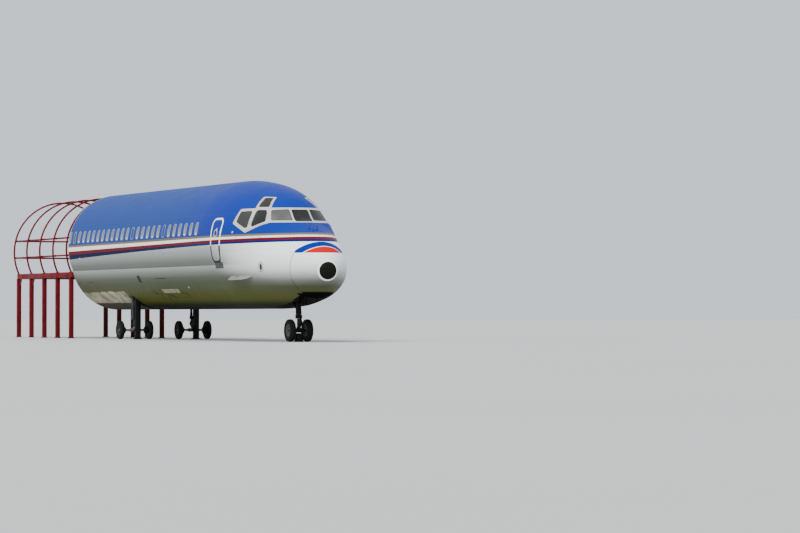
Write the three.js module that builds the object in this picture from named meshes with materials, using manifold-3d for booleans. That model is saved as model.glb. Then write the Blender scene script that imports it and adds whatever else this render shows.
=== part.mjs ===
// Forward fuselage of a narrow body airliner, cut off behind the front half of its cabin.
// It stands on its nose gear, on two twin-wheel legs under a notch in its belly and on
// stands beside them, and has a steel walkway frame with five hoops behind the cut.
// Millimetres, +X forward, +Y port, +Z up, ground at z = 0.
import * as THREE from 'three';
import { mergeVertices } from 'three/addons/utils/BufferGeometryUtils.js';
import Module from 'manifold-3d';

const wasm = await Module();
wasm.setup();

// Driving dimensions. A station is the distance behind the nose tip, and a height is
// measured from the bottom of the belly.
const BELLY = 900;
const SEAT_GAP = 0.3;
const RADOME_JOINT = 880;
const NOSE_END = 5950;
const FORWARD_END = 12000;
const CENTRE_END = 16200;
const CUT_STATION = 18260;
const BULKHEAD_THICK = 40;

// Walkway frame behind the cut.
const POST_FIRST = 18530;
const POST_PITCH = 1475;
const POST_COUNT = 5;
const POST_SIZE = 100;
const FRAME_HALF = 1500;
const BEAM_TOP = 1185;
const BEAM_DEPTH = 170;
const HOOP_RADIUS = 1690;
const HOOP_CENTRE = 1880;
const HOOP_TUBE = 70;
const RAIL_TUBE = 50;
const RAIL_HEIGHTS = { upper: 2270, lower: 1717 };
const POST_LAST = POST_FIRST + (POST_COUNT - 1) * POST_PITCH;
const FRAME_END = POST_LAST + POST_SIZE / 2;
const TIP_X = FRAME_END / 2;

// Nose gear and its bay.
const NOSE_LEG = 2360;
const BAY = { front: 1030, rear: 3200, half: 390, roof: 850 };
const NOSE_TYRE = { radius: 310, width: 165, bead: 165 };
const NOSE_WHEEL_OFFSET = 250;

// Twin-wheel legs under the notch.
const MID_LEG = 13840;
const MID_LEG_SIDE = 930;
const NOTCH = { front: 13620, rear: 14060, roof: 420 };
const MID_TYRE = { radius: 280, width: 140, bead: 150 };
const MID_WHEEL_OFFSET = 455;

// Colours.
const BLUE = 0x2f5fae;
const PALE = 0xc9cbc4;
const STEEL = 0x8f9090;
const DARK_STEEL = 0x4a4a4c;
const GLASS = 0x33332f;
const RUBBER = 0x2b2926;
const RED = 0xa5242c;

// The form of the nose at its table stations, in millimetres.
const COLUMNS = ['station', 'crown', 'keel', 'wide', 'mid', 'crease'];
const NOSE_TABLE = [
  [0, 1012, 1012, 0, 1012, 1012],
  [115, 1359, 737, 293, 1020, 1020],
  [344, 1581, 582, 506, 1030, 1030],
  [619, 1780, 449, 678, 1040, 1040],
  [880, 1920, 330, 815, 1050, 1050],
  [1260, 2110, 215, 955, 1090, 1065],
  [1720, 2295, 145, 1085, 1160, 1090],
  [2000, 2433, 105, 1155, 1210, 1100],
  [2430, 2815, 55, 1230, 1300, 1120],
  [2640, 2970, 35, 1265, 1350, 1135],
  [2870, 3085, 20, 1300, 1400, 1150],
  [3100, 3180, 10, 1340, 1455, 1160],
  [3560, 3315, 0, 1440, 1560, 1180],
  [4010, 3415, 0, 1535, 1660, 1205],
  [4470, 3490, 0, 1598, 1760, 1230],
  [4930, 3545, 0, 1632, 1850, 1250],
  [5480, 3595, 0, 1660, 1920, 1265],
  [NOSE_END, 3611, 0, 1671, 1940, 1270],
];
const LOWER_SHARE = 0.43;
const UPPER_STEPS = 12;
const LOWER_STEPS = 8;

// One column of the table at any station, smooth in the square root of the station so
// that the tip is round.
function column(name, station) {
  const index = COLUMNS.indexOf(name);
  const roots = NOSE_TABLE.map((row) => Math.sqrt(row[0]));
  const values = NOSE_TABLE.map((row) => row[index]);
  const root = Math.sqrt(Math.min(station, NOSE_END));
  const rise = (i) => (values[i + 1] - values[i]) / (roots[i + 1] - roots[i]);
  const slopes = NOSE_TABLE.slice(1).map((row, i) => rise(i));
  const last = slopes.length - 1;
  const tangent = (i) => {
    if (i === 0) return slopes[0];
    if (i > last) return 0;
    const before = roots[i] - roots[i - 1];
    const after = roots[i + 1] - roots[i];
    return (slopes[i - 1] * after + slopes[i] * before) / (before + after);
  };
  let i = 0;
  while (i < last && roots[i + 1] < root) i += 1;
  const span = roots[i + 1] - roots[i];
  const a = (root - roots[i]) / span;
  const blend = 3 * a ** 2 - 2 * a ** 3;
  const leaving = (a ** 3 - 2 * a ** 2 + a) * span * tangent(i);
  const arriving = (a ** 3 - a ** 2) * span * tangent(i + 1);
  return (1 - blend) * values[i] + blend * values[i + 1] + leaving + arriving;
}

// The outline of the fuselage at a station, as [y, height] pairs from the crown over the
// port side and round. The upper lobe meets the lower one at the crease.
function section(station, inset) {
  const crown = column('crown', station) - inset;
  const keel = column('keel', station) + inset;
  const wide = column('wide', station) - inset;
  const mid = column('mid', station);
  const crease = column('crease', station);
  const rise = crown - mid;
  const creaseAngle = Math.asin((crease - mid) / rise);
  const creaseHalf = wide * Math.cos(creaseAngle);
  const lower = crease + LOWER_SHARE * (mid - crease);
  const lowerRise = lower - keel;
  const lowerAngle = Math.asin((crease - lower) / lowerRise);
  const lowerHalf = creaseHalf / Math.cos(lowerAngle);
  const half = [];
  for (let i = 0; i <= UPPER_STEPS; i += 1) {
    const angle = Math.PI / 2 + (creaseAngle - Math.PI / 2) * (i / UPPER_STEPS);
    half.push([wide * Math.cos(angle), mid + rise * Math.sin(angle)]);
  }
  for (let i = 1; i <= LOWER_STEPS; i += 1) {
    const angle = lowerAngle + (-Math.PI / 2 - lowerAngle) * (i / LOWER_STEPS);
    half.push([lowerHalf * Math.cos(angle), lower + lowerRise * Math.sin(angle)]);
  }
  half[0][0] = 0;
  half[half.length - 1][0] = 0;
  const mirrored = half.slice(1, -1).reverse().map(([y, height]) => [-y, height]);
  return [...half, ...mirrored];
}

// Stations at which the form has a ring, closer together at the round tip.
const TIP_RINGS = [0.12, 0.22, 0.34, 0.46, 0.59, 0.7, 0.8, 0.87].map((root) => root ** 2 * 1000);
const NOSE_RINGS = NOSE_TABLE.map((row) => row[0]).filter((value) => value > RADOME_JOINT);
const RINGS = [...TIP_RINGS, ...NOSE_RINGS];

// A closed solid of the fuselage form between two stations.
function hull(from, to, inset = 0) {
  const inner = RINGS.filter((value) => value > from + 1 && value < to - 1);
  const stations = [from, ...inner, to];
  const positions = [];
  const faces = [];
  const rings = [];
  for (const station of stations) {
    if (station === 0) {
      positions.push(TIP_X - inset, 0, BELLY + column('mid', 0));
      rings.push({ start: 0, count: 1 });
    } else {
      const outline = section(station, inset);
      rings.push({ start: positions.length / 3, count: outline.length });
      for (const [y, height] of outline) positions.push(TIP_X - station, y, BELLY + height);
    }
  }
  for (let r = 0; r + 1 < rings.length; r += 1) {
    const front = rings[r];
    const rear = rings[r + 1];
    for (let i = 0; i < rear.count; i += 1) {
      const next = (i + 1) % rear.count;
      if (front.count === 1) {
        faces.push(front.start, rear.start + next, rear.start + i);
      } else {
        faces.push(front.start + i, rear.start + next, rear.start + i);
        faces.push(front.start + i, front.start + next, rear.start + next);
      }
    }
  }
  const cap = (ring, facesForward) => {
    for (let i = 1; i + 1 < ring.count; i += 1) {
      const [a, b] = facesForward ? [i + 1, i] : [i, i + 1];
      faces.push(ring.start, ring.start + a, ring.start + b);
    }
  };
  if (rings[0].count > 1) cap(rings[0], true);
  cap(rings[rings.length - 1], false);
  const geometry = new THREE.BufferGeometry();
  geometry.setAttribute('position', new THREE.Float32BufferAttribute(positions, 3));
  geometry.setIndex(faces);
  return solidOf(geometry);
}

// A closed three.js geometry as a solid that can be cut and joined.
function solidOf(geometry) {
  const bare = geometry.clone();
  bare.deleteAttribute('normal');
  bare.deleteAttribute('uv');
  const merged = mergeVertices(bare, 1e-3);
  const vertProperties = new Float32Array(merged.attributes.position.array);
  const triVerts = new Uint32Array(merged.index.array);
  return new wasm.Manifold(new wasm.Mesh({ numProp: 3, vertProperties, triVerts }));
}

function joined(solids) {
  return solids.reduce((sum, solid) => sum.add(solid));
}

// A box from its limits in station, y and height.
function block([stationFrom, stationTo], [yFrom, yTo], [heightFrom, heightTo]) {
  const geometry = new THREE.BoxGeometry(stationTo - stationFrom, yTo - yFrom, heightTo - heightFrom);
  const x = TIP_X - (stationFrom + stationTo) / 2;
  geometry.translate(x, (yFrom + yTo) / 2, BELLY + (heightFrom + heightTo) / 2);
  return solidOf(geometry);
}

// A point from its station, y and height.
function point(station, y, height) {
  return new THREE.Vector3(TIP_X - station, y, BELLY + height);
}

// A round bar between two points.
function bar(start, end, radius, sides = 20) {
  const direction = end.clone().sub(start);
  const geometry = new THREE.CylinderGeometry(radius, radius, direction.length(), sides);
  const upright = new THREE.Vector3(0, 1, 0);
  geometry.applyQuaternion(new THREE.Quaternion().setFromUnitVectors(upright, direction.clone().normalize()));
  geometry.translate(...start.clone().add(end).multiplyScalar(0.5).toArray());
  return solidOf(geometry);
}

// A plate of the outline given as [station, height] pairs, between two values of y.
function sidePlate(outline, yFrom, yTo) {
  const corners = outline.map(([station, height]) => new THREE.Vector2(TIP_X - station, BELLY + height));
  const depth = yTo - yFrom;
  const geometry = new THREE.ExtrudeGeometry(new THREE.Shape(corners), { depth, bevelEnabled: false });
  geometry.rotateX(Math.PI / 2);
  geometry.translate(0, yTo, 0);
  return solidOf(geometry);
}

// A plate of the outline given as [y, height] pairs, between two stations.
function frontPlate(shape, stationFrom, stationTo) {
  const depth = stationTo - stationFrom;
  const geometry = new THREE.ExtrudeGeometry(shape, { depth, bevelEnabled: false, curveSegments: 24 });
  const basis = new THREE.Matrix4().makeBasis(
    new THREE.Vector3(0, 1, 0),
    new THREE.Vector3(0, 0, 1),
    new THREE.Vector3(1, 0, 0),
  );
  geometry.applyMatrix4(basis);
  geometry.translate(TIP_X - stationTo, 0, BELLY);
  return solidOf(geometry);
}

const aircraft = new THREE.Group();

function add(name, solid, color, roughness = 0.5, metalness = 0) {
  const mesh = solid.getMesh();
  const geometry = new THREE.BufferGeometry();
  geometry.setAttribute('position', new THREE.Float32BufferAttribute(mesh.vertProperties, 3));
  geometry.setIndex(Array.from(mesh.triVerts));
  geometry.computeVertexNormals();
  const finish = new THREE.MeshStandardMaterial({ color, roughness, metalness });
  const node = new THREE.Mesh(geometry, finish);
  node.name = name;
  aircraft.add(node);
}

// Panes and doors lie flush in shallow pockets of the skin. Side ones have an outline
// of [station, height] pairs, front ones of [y, height] pairs, both on the port side.
const PANE_THICK = 25;
const DOOR_THICK = 40;
const POCKET_EDGE = 4;
const SIDE_LOOK = { from: 350, to: 1750 };
const FRONT_LOOK = { from: 1650, to: 2950 };
const PANES = {
  rear_side_pane: [[3710, 2660], [3280, 2670], [3210, 2610], [3130, 2220], [3250, 2210], [3700, 2380]],
  front_side_pane: [
    [3080, 2650],
    [3040, 2690],
    [2750, 2680],
    [2640, 2590],
    [2500, 2370],
    [2910, 2240],
    [3000, 2280],
  ],
  eyebrow_pane: [[3250, 3030], [3000, 3020], [2770, 2775], [3140, 2785]],
};
const SCREENS = [
  { name: 'centre_windshield', outline: [[-245, 2370], [245, 2370], [232, 2690], [-232, 2690]] },
  { name: 'side_windshield_port', outline: [[305, 2395], [800, 2395], [700, 2675], [290, 2700]] },
  { name: 'side_windshield_starboard', outline: [[-305, 2395], [-800, 2395], [-700, 2675], [-290, 2700]] },
];
const DOORS = [
  { name: 'service_door', side: -1, front: 4370, rear: 4920, sill: 1310, top: 2470 },
  { name: 'passenger_door', side: 1, front: 4060, rear: 4920, sill: 1240, top: 3070 },
];

function grown(outline, distance) {
  const centre = outline.reduce(([a, b], [c, d]) => [a + c / outline.length, b + d / outline.length], [0, 0]);
  return outline.map(([a, b]) => {
    const length = Math.hypot(a - centre[0], b - centre[1]);
    const scale = (length + distance) / length;
    return [centre[0] + (a - centre[0]) * scale, centre[1] + (b - centre[1]) * scale];
  });
}

function shapeOf(outline) {
  return new THREE.Shape(outline.map(([y, height]) => new THREE.Vector2(y, height)));
}

const noseForm = hull(RADOME_JOINT + SEAT_GAP, NOSE_END);
const paneCore = hull(RADOME_JOINT + SEAT_GAP, NOSE_END, PANE_THICK);
const pocketCore = hull(RADOME_JOINT + SEAT_GAP, NOSE_END, PANE_THICK + SEAT_GAP);
const doorCore = hull(RADOME_JOINT + SEAT_GAP, NOSE_END, DOOR_THICK);
const doorPocketCore = hull(RADOME_JOINT + SEAT_GAP, NOSE_END, DOOR_THICK + SEAT_GAP);

let noseSection = noseForm;
const insets = [];

function setIn(name, prism, pocketPrism, core, floor, color, roughness) {
  noseSection = noseSection.subtract(pocketPrism.subtract(floor));
  insets.push({ name, solid: noseForm.intersect(prism).subtract(core), color, roughness });
}

for (const side of [-1, 1]) {
  const sideName = side < 0 ? 'starboard' : 'port';
  const depth = side < 0 ? [-SIDE_LOOK.to, -SIDE_LOOK.from] : [SIDE_LOOK.from, SIDE_LOOK.to];
  for (const [name, outline] of Object.entries(PANES)) {
    const prism = sidePlate(outline, ...depth);
    const pocket = sidePlate(grown(outline, POCKET_EDGE), ...depth);
    setIn(`${name}_${sideName}`, prism, pocket, paneCore, pocketCore, GLASS, 0.15);
  }
}
for (const { name, outline } of SCREENS) {
  const prism = frontPlate(shapeOf(outline), FRONT_LOOK.from, FRONT_LOOK.to);
  const pocket = frontPlate(shapeOf(grown(outline, POCKET_EDGE)), FRONT_LOOK.from, FRONT_LOOK.to);
  setIn(name, prism, pocket, paneCore, pocketCore, GLASS, 0.15);
}

for (const door of DOORS) {
  const sides = door.side < 0 ? [-SIDE_LOOK.to, -SIDE_LOOK.from] : [SIDE_LOOK.from, SIDE_LOOK.to];
  const prism = block([door.front, door.rear], sides, [door.sill, door.top]);
  const edge = POCKET_EDGE;
  const pocket = block([door.front - edge, door.rear + edge], sides, [door.sill - edge, door.top + edge]);
  setIn(door.name, prism, pocket, doorCore, doorPocketCore, BLUE, 0.45);
}

const bay = block([BAY.front, BAY.rear], [-BAY.half, BAY.half], [-100, BAY.roof]);
noseSection = noseSection.subtract(bay);

// Fuselage.
const notch = block([NOTCH.front, NOTCH.rear], [-1800, 1800], [-100, NOTCH.roof]);
add('radome', hull(0, RADOME_JOINT), PALE, 0.45);
add('nose_section', noseSection, BLUE, 0.45);
for (const inset of insets) add(inset.name, inset.solid, inset.color, inset.roughness);
add('forward_fuselage', hull(NOSE_END + SEAT_GAP, FORWARD_END), BLUE, 0.45);
add('centre_fuselage', hull(FORWARD_END + SEAT_GAP, CENTRE_END).subtract(notch), BLUE, 0.45);
add('rear_fuselage', hull(CENTRE_END + SEAT_GAP, CUT_STATION), BLUE, 0.45);
add('cut_bulkhead', hull(CUT_STATION + SEAT_GAP, CUT_STATION + BULKHEAD_THICK), STEEL, 0.6, 0.3);

// Strakes: a fin on each side of the lower nose that droops outwards from its root on the
// skin. Its table has the station, how far out the skin is there, and the fin's width.
const STRAKE = { height: 898, thick: 22, droop: 0.72, inside: 60 };
const STRAKE_TABLE = [
  { station: 2680, skin: 1211, width: 10 },
  { station: 2900, skin: 1236, width: 110 },
  { station: 3150, skin: 1272, width: 145 },
  { station: 3800, skin: 1374, width: 160 },
  { station: 3890, skin: 1386, width: 135 },
];
function strakeCorners({ station, skin, width }, side) {
  const alongDroop = (out) => [
    skin + out * Math.cos(STRAKE.droop),
    STRAKE.height - out * Math.sin(STRAKE.droop),
  ];
  const half = STRAKE.thick / 2;
  return [alongDroop(-STRAKE.inside), alongDroop(width)].flatMap(([y, height]) => [
    point(station, side * y, height - half).toArray(),
    point(station, side * y, height + half).toArray(),
  ]);
}
for (const side of [-1, 1]) {
  const rings = STRAKE_TABLE.map((row) => strakeCorners(row, side));
  const lengths = rings.slice(1).map((ring, i) => wasm.Manifold.hull([...rings[i], ...ring]));
  const fin = joined(lengths).subtract(hull(RADOME_JOINT + SEAT_GAP, NOSE_END, -SEAT_GAP));
  add(`strake_${side < 0 ? 'starboard' : 'port'}`, fin, PALE, 0.45);
}

// Wheels: a tyre and a rim, turned about an axle along y. Widths are shares of half a
// tyre's width.
const AXLE_PLAY = 1;
const TYRE_SHARES = { bead: 0.72, shoulder: 0.78, shoulderDrop: 0.32, side: 0.5 };
const RIM = { hub: 50, hubShare: 0.55, webShare: 0.2, flange: 28 };
function turned(profile, station, y, height, steps = 24) {
  const points = profile.map(([radius, across]) => new THREE.Vector2(radius, across));
  const geometry = new THREE.LatheGeometry([...points, points[0]], steps);
  geometry.translate(TIP_X - station, y, BELLY + height);
  return solidOf(geometry);
}

function tyreProfile({ radius, width, bead }) {
  const half = width / 2;
  const side = (radius - bead) * TYRE_SHARES.side + bead;
  const shoulder = radius - half * TYRE_SHARES.shoulderDrop;
  return [
    [bead, -half * TYRE_SHARES.bead],
    [side, -half],
    [shoulder, -half * TYRE_SHARES.shoulder],
    [radius, 0],
    [shoulder, half * TYRE_SHARES.shoulder],
    [side, half],
    [bead, half * TYRE_SHARES.bead],
  ];
}

function rimProfile({ width, bead }, axle) {
  const half = width / 2;
  const outer = bead - SEAT_GAP;
  return [
    [axle + AXLE_PLAY, -half * RIM.hubShare],
    [axle + RIM.hub, -half * RIM.hubShare],
    [outer - RIM.flange, -half * RIM.webShare],
    [outer, -half * TYRE_SHARES.bead],
    [outer, half * TYRE_SHARES.bead],
    [outer - RIM.flange, half * RIM.webShare],
    [axle + RIM.hub, half * RIM.hubShare],
    [axle + AXLE_PLAY, half * RIM.hubShare],
  ];
}

function wheel(name, tyre, axle, station, y, height) {
  add(`${name}_tyre`, turned(tyreProfile(tyre), station, y, height), RUBBER, 0.85);
  add(`${name}_rim`, turned(rimProfile(tyre, axle), station, y, height), STEEL, 0.4, 0.7);
}

// Nose gear: the outer cylinder hangs from a cross tube in the bay, and the collar, the
// links and the piston with its axle steer below it.
const LEG_RADIUS = 75;
const TRUNNION = { height: 620, radius: 55 };
const CYLINDER = { top: 720, bottom: -160 };
const COLLAR = { radius: 102, bottom: -265 };
const PISTON_RADIUS = 46;
const NOSE_AXLE = { radius: 34, half: 300, height: NOSE_TYRE.radius - BELLY };
const BRACE = { radius: 28, low: -60, high: 560, shoeDeep: 60, shoeHalf: 90 };
const LUG = { reach: 45, half: 35, tall: 55 };
const NOSE_HUB = { radius: 62, half: 130 };
const wallY = BAY.half - SEAT_GAP;

function legSolid(extra) {
  const top = point(NOSE_LEG, 0, CYLINDER.top);
  const cylinder = bar(top, point(NOSE_LEG, 0, CYLINDER.bottom), LEG_RADIUS + extra, 24);
  const crossEnds = [-wallY, wallY].map((y) => point(NOSE_LEG, y, TRUNNION.height));
  const crossTube = bar(...crossEnds, TRUNNION.radius);
  const lugStations = [NOSE_LEG, NOSE_LEG + LEG_RADIUS + LUG.reach + extra];
  const lug = block(lugStations, [-LUG.half, LUG.half], [BRACE.low - LUG.tall, BRACE.low + LUG.tall]);
  return joined([cylinder, crossTube, lug]);
}
add('nose_gear_leg', legSolid(0), DARK_STEEL, 0.45, 0.5);
const braceFoot = point(NOSE_LEG + LEG_RADIUS, 0, BRACE.low);
const braceHead = point(BAY.rear - SEAT_GAP, 0, BRACE.high);
const shoeStations = [BAY.rear - BRACE.shoeDeep, BAY.rear - SEAT_GAP];
const shoeHeights = [BRACE.high - BRACE.shoeHalf, BRACE.high + BRACE.shoeHalf];
const braceShoe = block(shoeStations, [-BRACE.shoeHalf, BRACE.shoeHalf], shoeHeights);
const brace = joined([bar(braceFoot, braceHead, BRACE.radius), braceShoe]);
add('nose_drag_brace', brace.subtract(legSolid(SEAT_GAP)).intersect(bay), DARK_STEEL, 0.5, 0.5);

const collarTop = CYLINDER.bottom - SEAT_GAP;
const collarBar = bar(point(NOSE_LEG, 0, collarTop), point(NOSE_LEG, 0, COLLAR.bottom), COLLAR.radius, 24);
add('steering_collar', collarBar, STEEL, 0.4, 0.6);
const pistonTop = point(NOSE_LEG, 0, COLLAR.bottom - SEAT_GAP);
const piston = bar(pistonTop, point(NOSE_LEG, 0, NOSE_AXLE.height), PISTON_RADIUS, 24);
const hubEnds = [-NOSE_HUB.half, NOSE_HUB.half].map((y) => point(NOSE_LEG, y, NOSE_AXLE.height));
const noseHub = bar(...hubEnds, NOSE_HUB.radius);
const noseAxleStart = point(NOSE_LEG, -NOSE_AXLE.half, NOSE_AXLE.height);
const noseAxleEnd = point(NOSE_LEG, NOSE_AXLE.half, NOSE_AXLE.height);
const noseAxle = bar(noseAxleStart, noseAxleEnd, NOSE_AXLE.radius, 24);
add('nose_piston_axle', joined([piston, noseHub, noseAxle]), STEEL, 0.3, 0.8);

// Torque links, as one bent plate ahead of a leg or behind it. Its ends lie against the
// tube above and the piston or hub below.
const LINK = { half: 32, root: 65, foot: 40, deep: 48 };
function torqueLinks(leg, direction, y, { upper, lower, reach, top, elbow, bottom }) {
  const outline = [
    [upper, top],
    [upper, top - LINK.root],
    [reach, elbow],
    [lower, bottom + LINK.foot],
    [lower, bottom],
    [reach + LINK.deep, elbow],
  ].map(([out, height]) => [leg + direction * out, height]);
  return sidePlate(outline, y - LINK.half, y + LINK.half);
}
const noseLinks = {
  upper: COLLAR.radius + SEAT_GAP,
  lower: PISTON_RADIUS + SEAT_GAP,
  reach: 175,
  top: -175,
  elbow: -385,
  bottom: -545,
};
add('nose_torque_links', torqueLinks(NOSE_LEG, -1, 0, noseLinks), DARK_STEEL, 0.5, 0.5);

// Stands: a short block under the nose hub, clear of it at every steering angle, and a tall
// prop from the ground to the notch's roof ahead of each mid leg.
const FOOT_THICK = 20;
const NOSE_STAND = { half: 95, top: 240, spare: 15 };
const PROP = { front: 13635, rear: 13775, shift: 50, half: 80, spare: 40 };
function stand([stationFrom, stationTo], y, { half, spare }, top) {
  const footStations = [stationFrom - spare, stationTo + spare];
  const foot = block(footStations, [y - half - spare, y + half + spare], [-BELLY, FOOT_THICK - BELLY]);
  return foot.add(block([stationFrom, stationTo], [y - half, y + half], [-BELLY, top]));
}
const standStations = [NOSE_LEG - NOSE_STAND.half, NOSE_LEG + NOSE_STAND.half];
const noseStand = stand(standStations, 0, NOSE_STAND, NOSE_STAND.top - BELLY);
add('nose_stand', noseStand, DARK_STEEL, 0.6, 0.4);
for (const side of [-1, 1]) {
  const name = `nose_${side < 0 ? 'starboard' : 'port'}`;
  wheel(name, NOSE_TYRE, NOSE_AXLE.radius, NOSE_LEG, side * NOSE_WHEEL_OFFSET, NOSE_AXLE.height);
}

// Twin-wheel legs: two tubes side by side hang from a plate on the notch's roof, with a
// band round both and a yoke at their feet that holds the rod of a wide axle.
const MID = { bottom: -300, piston: 46, axle: 34, height: MID_TYRE.radius - BELLY };
const MID_HUB = { radius: 60, half: 150, axleSpare: 50 };
const TWIN = { radius: 38, spread: 57, bottom: -200 };
const LEG_PLATE = { front: 50, rear: 160, half: 120, thick: 25 };
const BAND = { deep: 45, half: 100, low: 35, high: 85 };
const YOKE = { deep: 60, half: 100, top: -190 };
const midLinks = {
  upper: YOKE.deep + SEAT_GAP,
  lower: MID_HUB.radius + SEAT_GAP,
  reach: 225,
  top: -210,
  elbow: -440,
  bottom: -640,
};
for (const side of [-1, 1]) {
  const sideName = side < 0 ? 'starboard' : 'port';
  const y = side * MID_LEG_SIDE;
  const top = NOTCH.roof - SEAT_GAP;
  const aboutLeg = (deep) => [MID_LEG - deep, MID_LEG + deep];
  const plateStations = [MID_LEG - LEG_PLATE.front, MID_LEG + LEG_PLATE.rear];
  const plate = block(plateStations, [y - LEG_PLATE.half, y + LEG_PLATE.half], [top - LEG_PLATE.thick, top]);
  const tubes = [y - TWIN.spread, y + TWIN.spread].map((across) => (
    bar(point(MID_LEG, across, top), point(MID_LEG, across, TWIN.bottom), TWIN.radius, 20)
  ));
  const band = block(aboutLeg(BAND.deep), [y - BAND.half, y + BAND.half], [BAND.low, BAND.high]);
  const yoke = block(aboutLeg(YOKE.deep), [y - YOKE.half, y + YOKE.half], [MID.bottom, YOKE.top]);
  add(`mid_leg_${sideName}`, joined([plate, ...tubes, band, yoke]), STEEL, 0.45, 0.5);
  const prop = stand([PROP.front, PROP.rear], y + PROP.shift, PROP, top);
  add(`prop_${sideName}`, prop, DARK_STEEL, 0.6, 0.4);
  const alongAxle = (half) => [y - half, y + half].map((end) => point(MID_LEG, end, MID.height));
  const rod = bar(point(MID_LEG, y, MID.bottom - SEAT_GAP), point(MID_LEG, y, MID.height), MID.piston, 24);
  const hub = bar(...alongAxle(MID_HUB.half), MID_HUB.radius);
  const axle = bar(...alongAxle(MID_WHEEL_OFFSET + MID_HUB.axleSpare), MID.axle, 24);
  add(`mid_axle_${sideName}`, joined([rod, hub, axle]), STEEL, 0.4, 0.6);
  add(`mid_links_${sideName}`, torqueLinks(MID_LEG, 1, y, midLinks), DARK_STEEL, 0.5, 0.5);
  for (const [place, offset] of [['inboard', -MID_WHEEL_OFFSET], ['outboard', MID_WHEEL_OFFSET]]) {
    wheel(`mid_${sideName}_${place}`, MID_TYRE, MID.axle, MID_LEG, y + side * offset, MID.height);
  }
}

// Walkway frame: posts and a beam on each side, a deck between, hoops on the beams, and
// guard rails inside the hoops.
const posts = Array.from({ length: POST_COUNT }, (_, i) => POST_FIRST + i * POST_PITCH);
const frameStart = CUT_STATION + BULKHEAD_THICK + SEAT_GAP;
const beamBottom = BEAM_TOP - BEAM_DEPTH;
const halfPost = POST_SIZE / 2;
const KNEE = { reach: 260, toe: 50, half: 20 };
const BASE_PLATE = { half: 100, thick: 14 };
function kneeBefore(station, y) {
  const face = station - halfPost;
  return sidePlate([
    [face + 1, beamBottom + 1],
    [face + 1, beamBottom - KNEE.reach],
    [face - KNEE.toe, beamBottom - KNEE.reach],
    [face - KNEE.reach, beamBottom - KNEE.toe],
    [face - KNEE.reach, beamBottom + 1],
  ], y - KNEE.half, y + KNEE.half);
}
for (const side of [-1, 1]) {
  const sideName = side < 0 ? 'starboard' : 'port';
  const y = side * FRAME_HALF;
  const across = [y - halfPost, y + halfPost];
  const beam = block([frameStart, FRAME_END], across, [beamBottom, BEAM_TOP]);
  const uprights = posts.map((station) => {
    const along = [station - halfPost, station + halfPost];
    return block(along, across, [-BELLY, beamBottom + 1]);
  });
  const basePlates = posts.map((station) => block(
    [station - halfPost, station + halfPost],
    [y - BASE_PLATE.half, y + BASE_PLATE.half],
    [-BELLY, BASE_PLATE.thick - BELLY],
  ));
  const knees = posts.slice(-2).map((station) => kneeBefore(station, y));
  add(`side_frame_${sideName}`, joined([beam, ...knees, ...uprights, ...basePlates]), RED, 0.6, 0.2);
}

const DECK = { drop: 45, thick: 40, joistHalf: 30 };
const deckAcross = [SEAT_GAP + halfPost - FRAME_HALF, FRAME_HALF - halfPost - SEAT_GAP];
const deckTop = BEAM_TOP - DECK.drop;
const deckPlate = block([frameStart, FRAME_END], deckAcross, [deckTop - DECK.thick, deckTop]);
const joists = posts.map((station) => {
  const along = [station - DECK.joistHalf, station + DECK.joistHalf];
  return block(along, deckAcross, [beamBottom, deckTop - DECK.thick + 1]);
});
add('walkway_deck', joined([deckPlate, ...joists]), DARK_STEEL, 0.7, 0.3);

const hoopInner = HOOP_RADIUS - HOOP_TUBE;
const footDrop = BEAM_TOP + SEAT_GAP - HOOP_CENTRE;
const outerAngle = Math.asin(footDrop / HOOP_RADIUS);
const innerAngle = Math.asin(footDrop / hoopInner);
const hoopShape = new THREE.Shape();
hoopShape.absarc(0, HOOP_CENTRE, HOOP_RADIUS, outerAngle, Math.PI - outerAngle, false);
hoopShape.absarc(0, HOOP_CENTRE, hoopInner, Math.PI - innerAngle, innerAngle, true);

// The rails lie inside the hoops, each in a shallow seat that the hoop is cut for.
function railBlock(side, height, extra) {
  const drop = Math.abs(height - HOOP_CENTRE) + RAIL_TUBE / 2;
  const outer = Math.sqrt(hoopInner ** 2 - drop ** 2) + extra;
  const sides = side < 0 ? [-outer, RAIL_TUBE - outer + extra] : [outer - RAIL_TUBE - extra, outer];
  const half = RAIL_TUBE / 2 + extra;
  const end = POST_LAST - RAIL_TUBE / 2 - SEAT_GAP + extra;
  return block([frameStart, end], sides, [height - half, height + half]);
}

posts.forEach((station, i) => {
  let hoop = frontPlate(hoopShape, station - HOOP_TUBE / 2, station + HOOP_TUBE / 2);
  for (const height of Object.values(RAIL_HEIGHTS)) {
    if (i === POST_COUNT - 1) {
      const reach = Math.sqrt(hoopInner ** 2 - (height - HOOP_CENTRE) ** 2) + HOOP_TUBE / 3;
      const depth = [station - RAIL_TUBE / 2, station + RAIL_TUBE / 2];
      hoop = hoop.add(block(depth, [-reach, reach], [height - RAIL_TUBE / 2, height + RAIL_TUBE / 2]));
    }
    for (const side of [-1, 1]) hoop = hoop.subtract(railBlock(side, height, SEAT_GAP));
  }
  add(`hoop_${i + 1}`, hoop, RED, 0.6, 0.2);
});

for (const side of [-1, 1]) {
  const sideName = side < 0 ? 'starboard' : 'port';
  for (const [name, height] of Object.entries(RAIL_HEIGHTS)) {
    add(`${name}_rail_${sideName}`, railBlock(side, height, 0), RED, 0.6, 0.2);
  }
}

export default aircraft;
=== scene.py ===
import math

import bmesh
import bpy
from mathutils import Matrix, Vector


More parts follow.
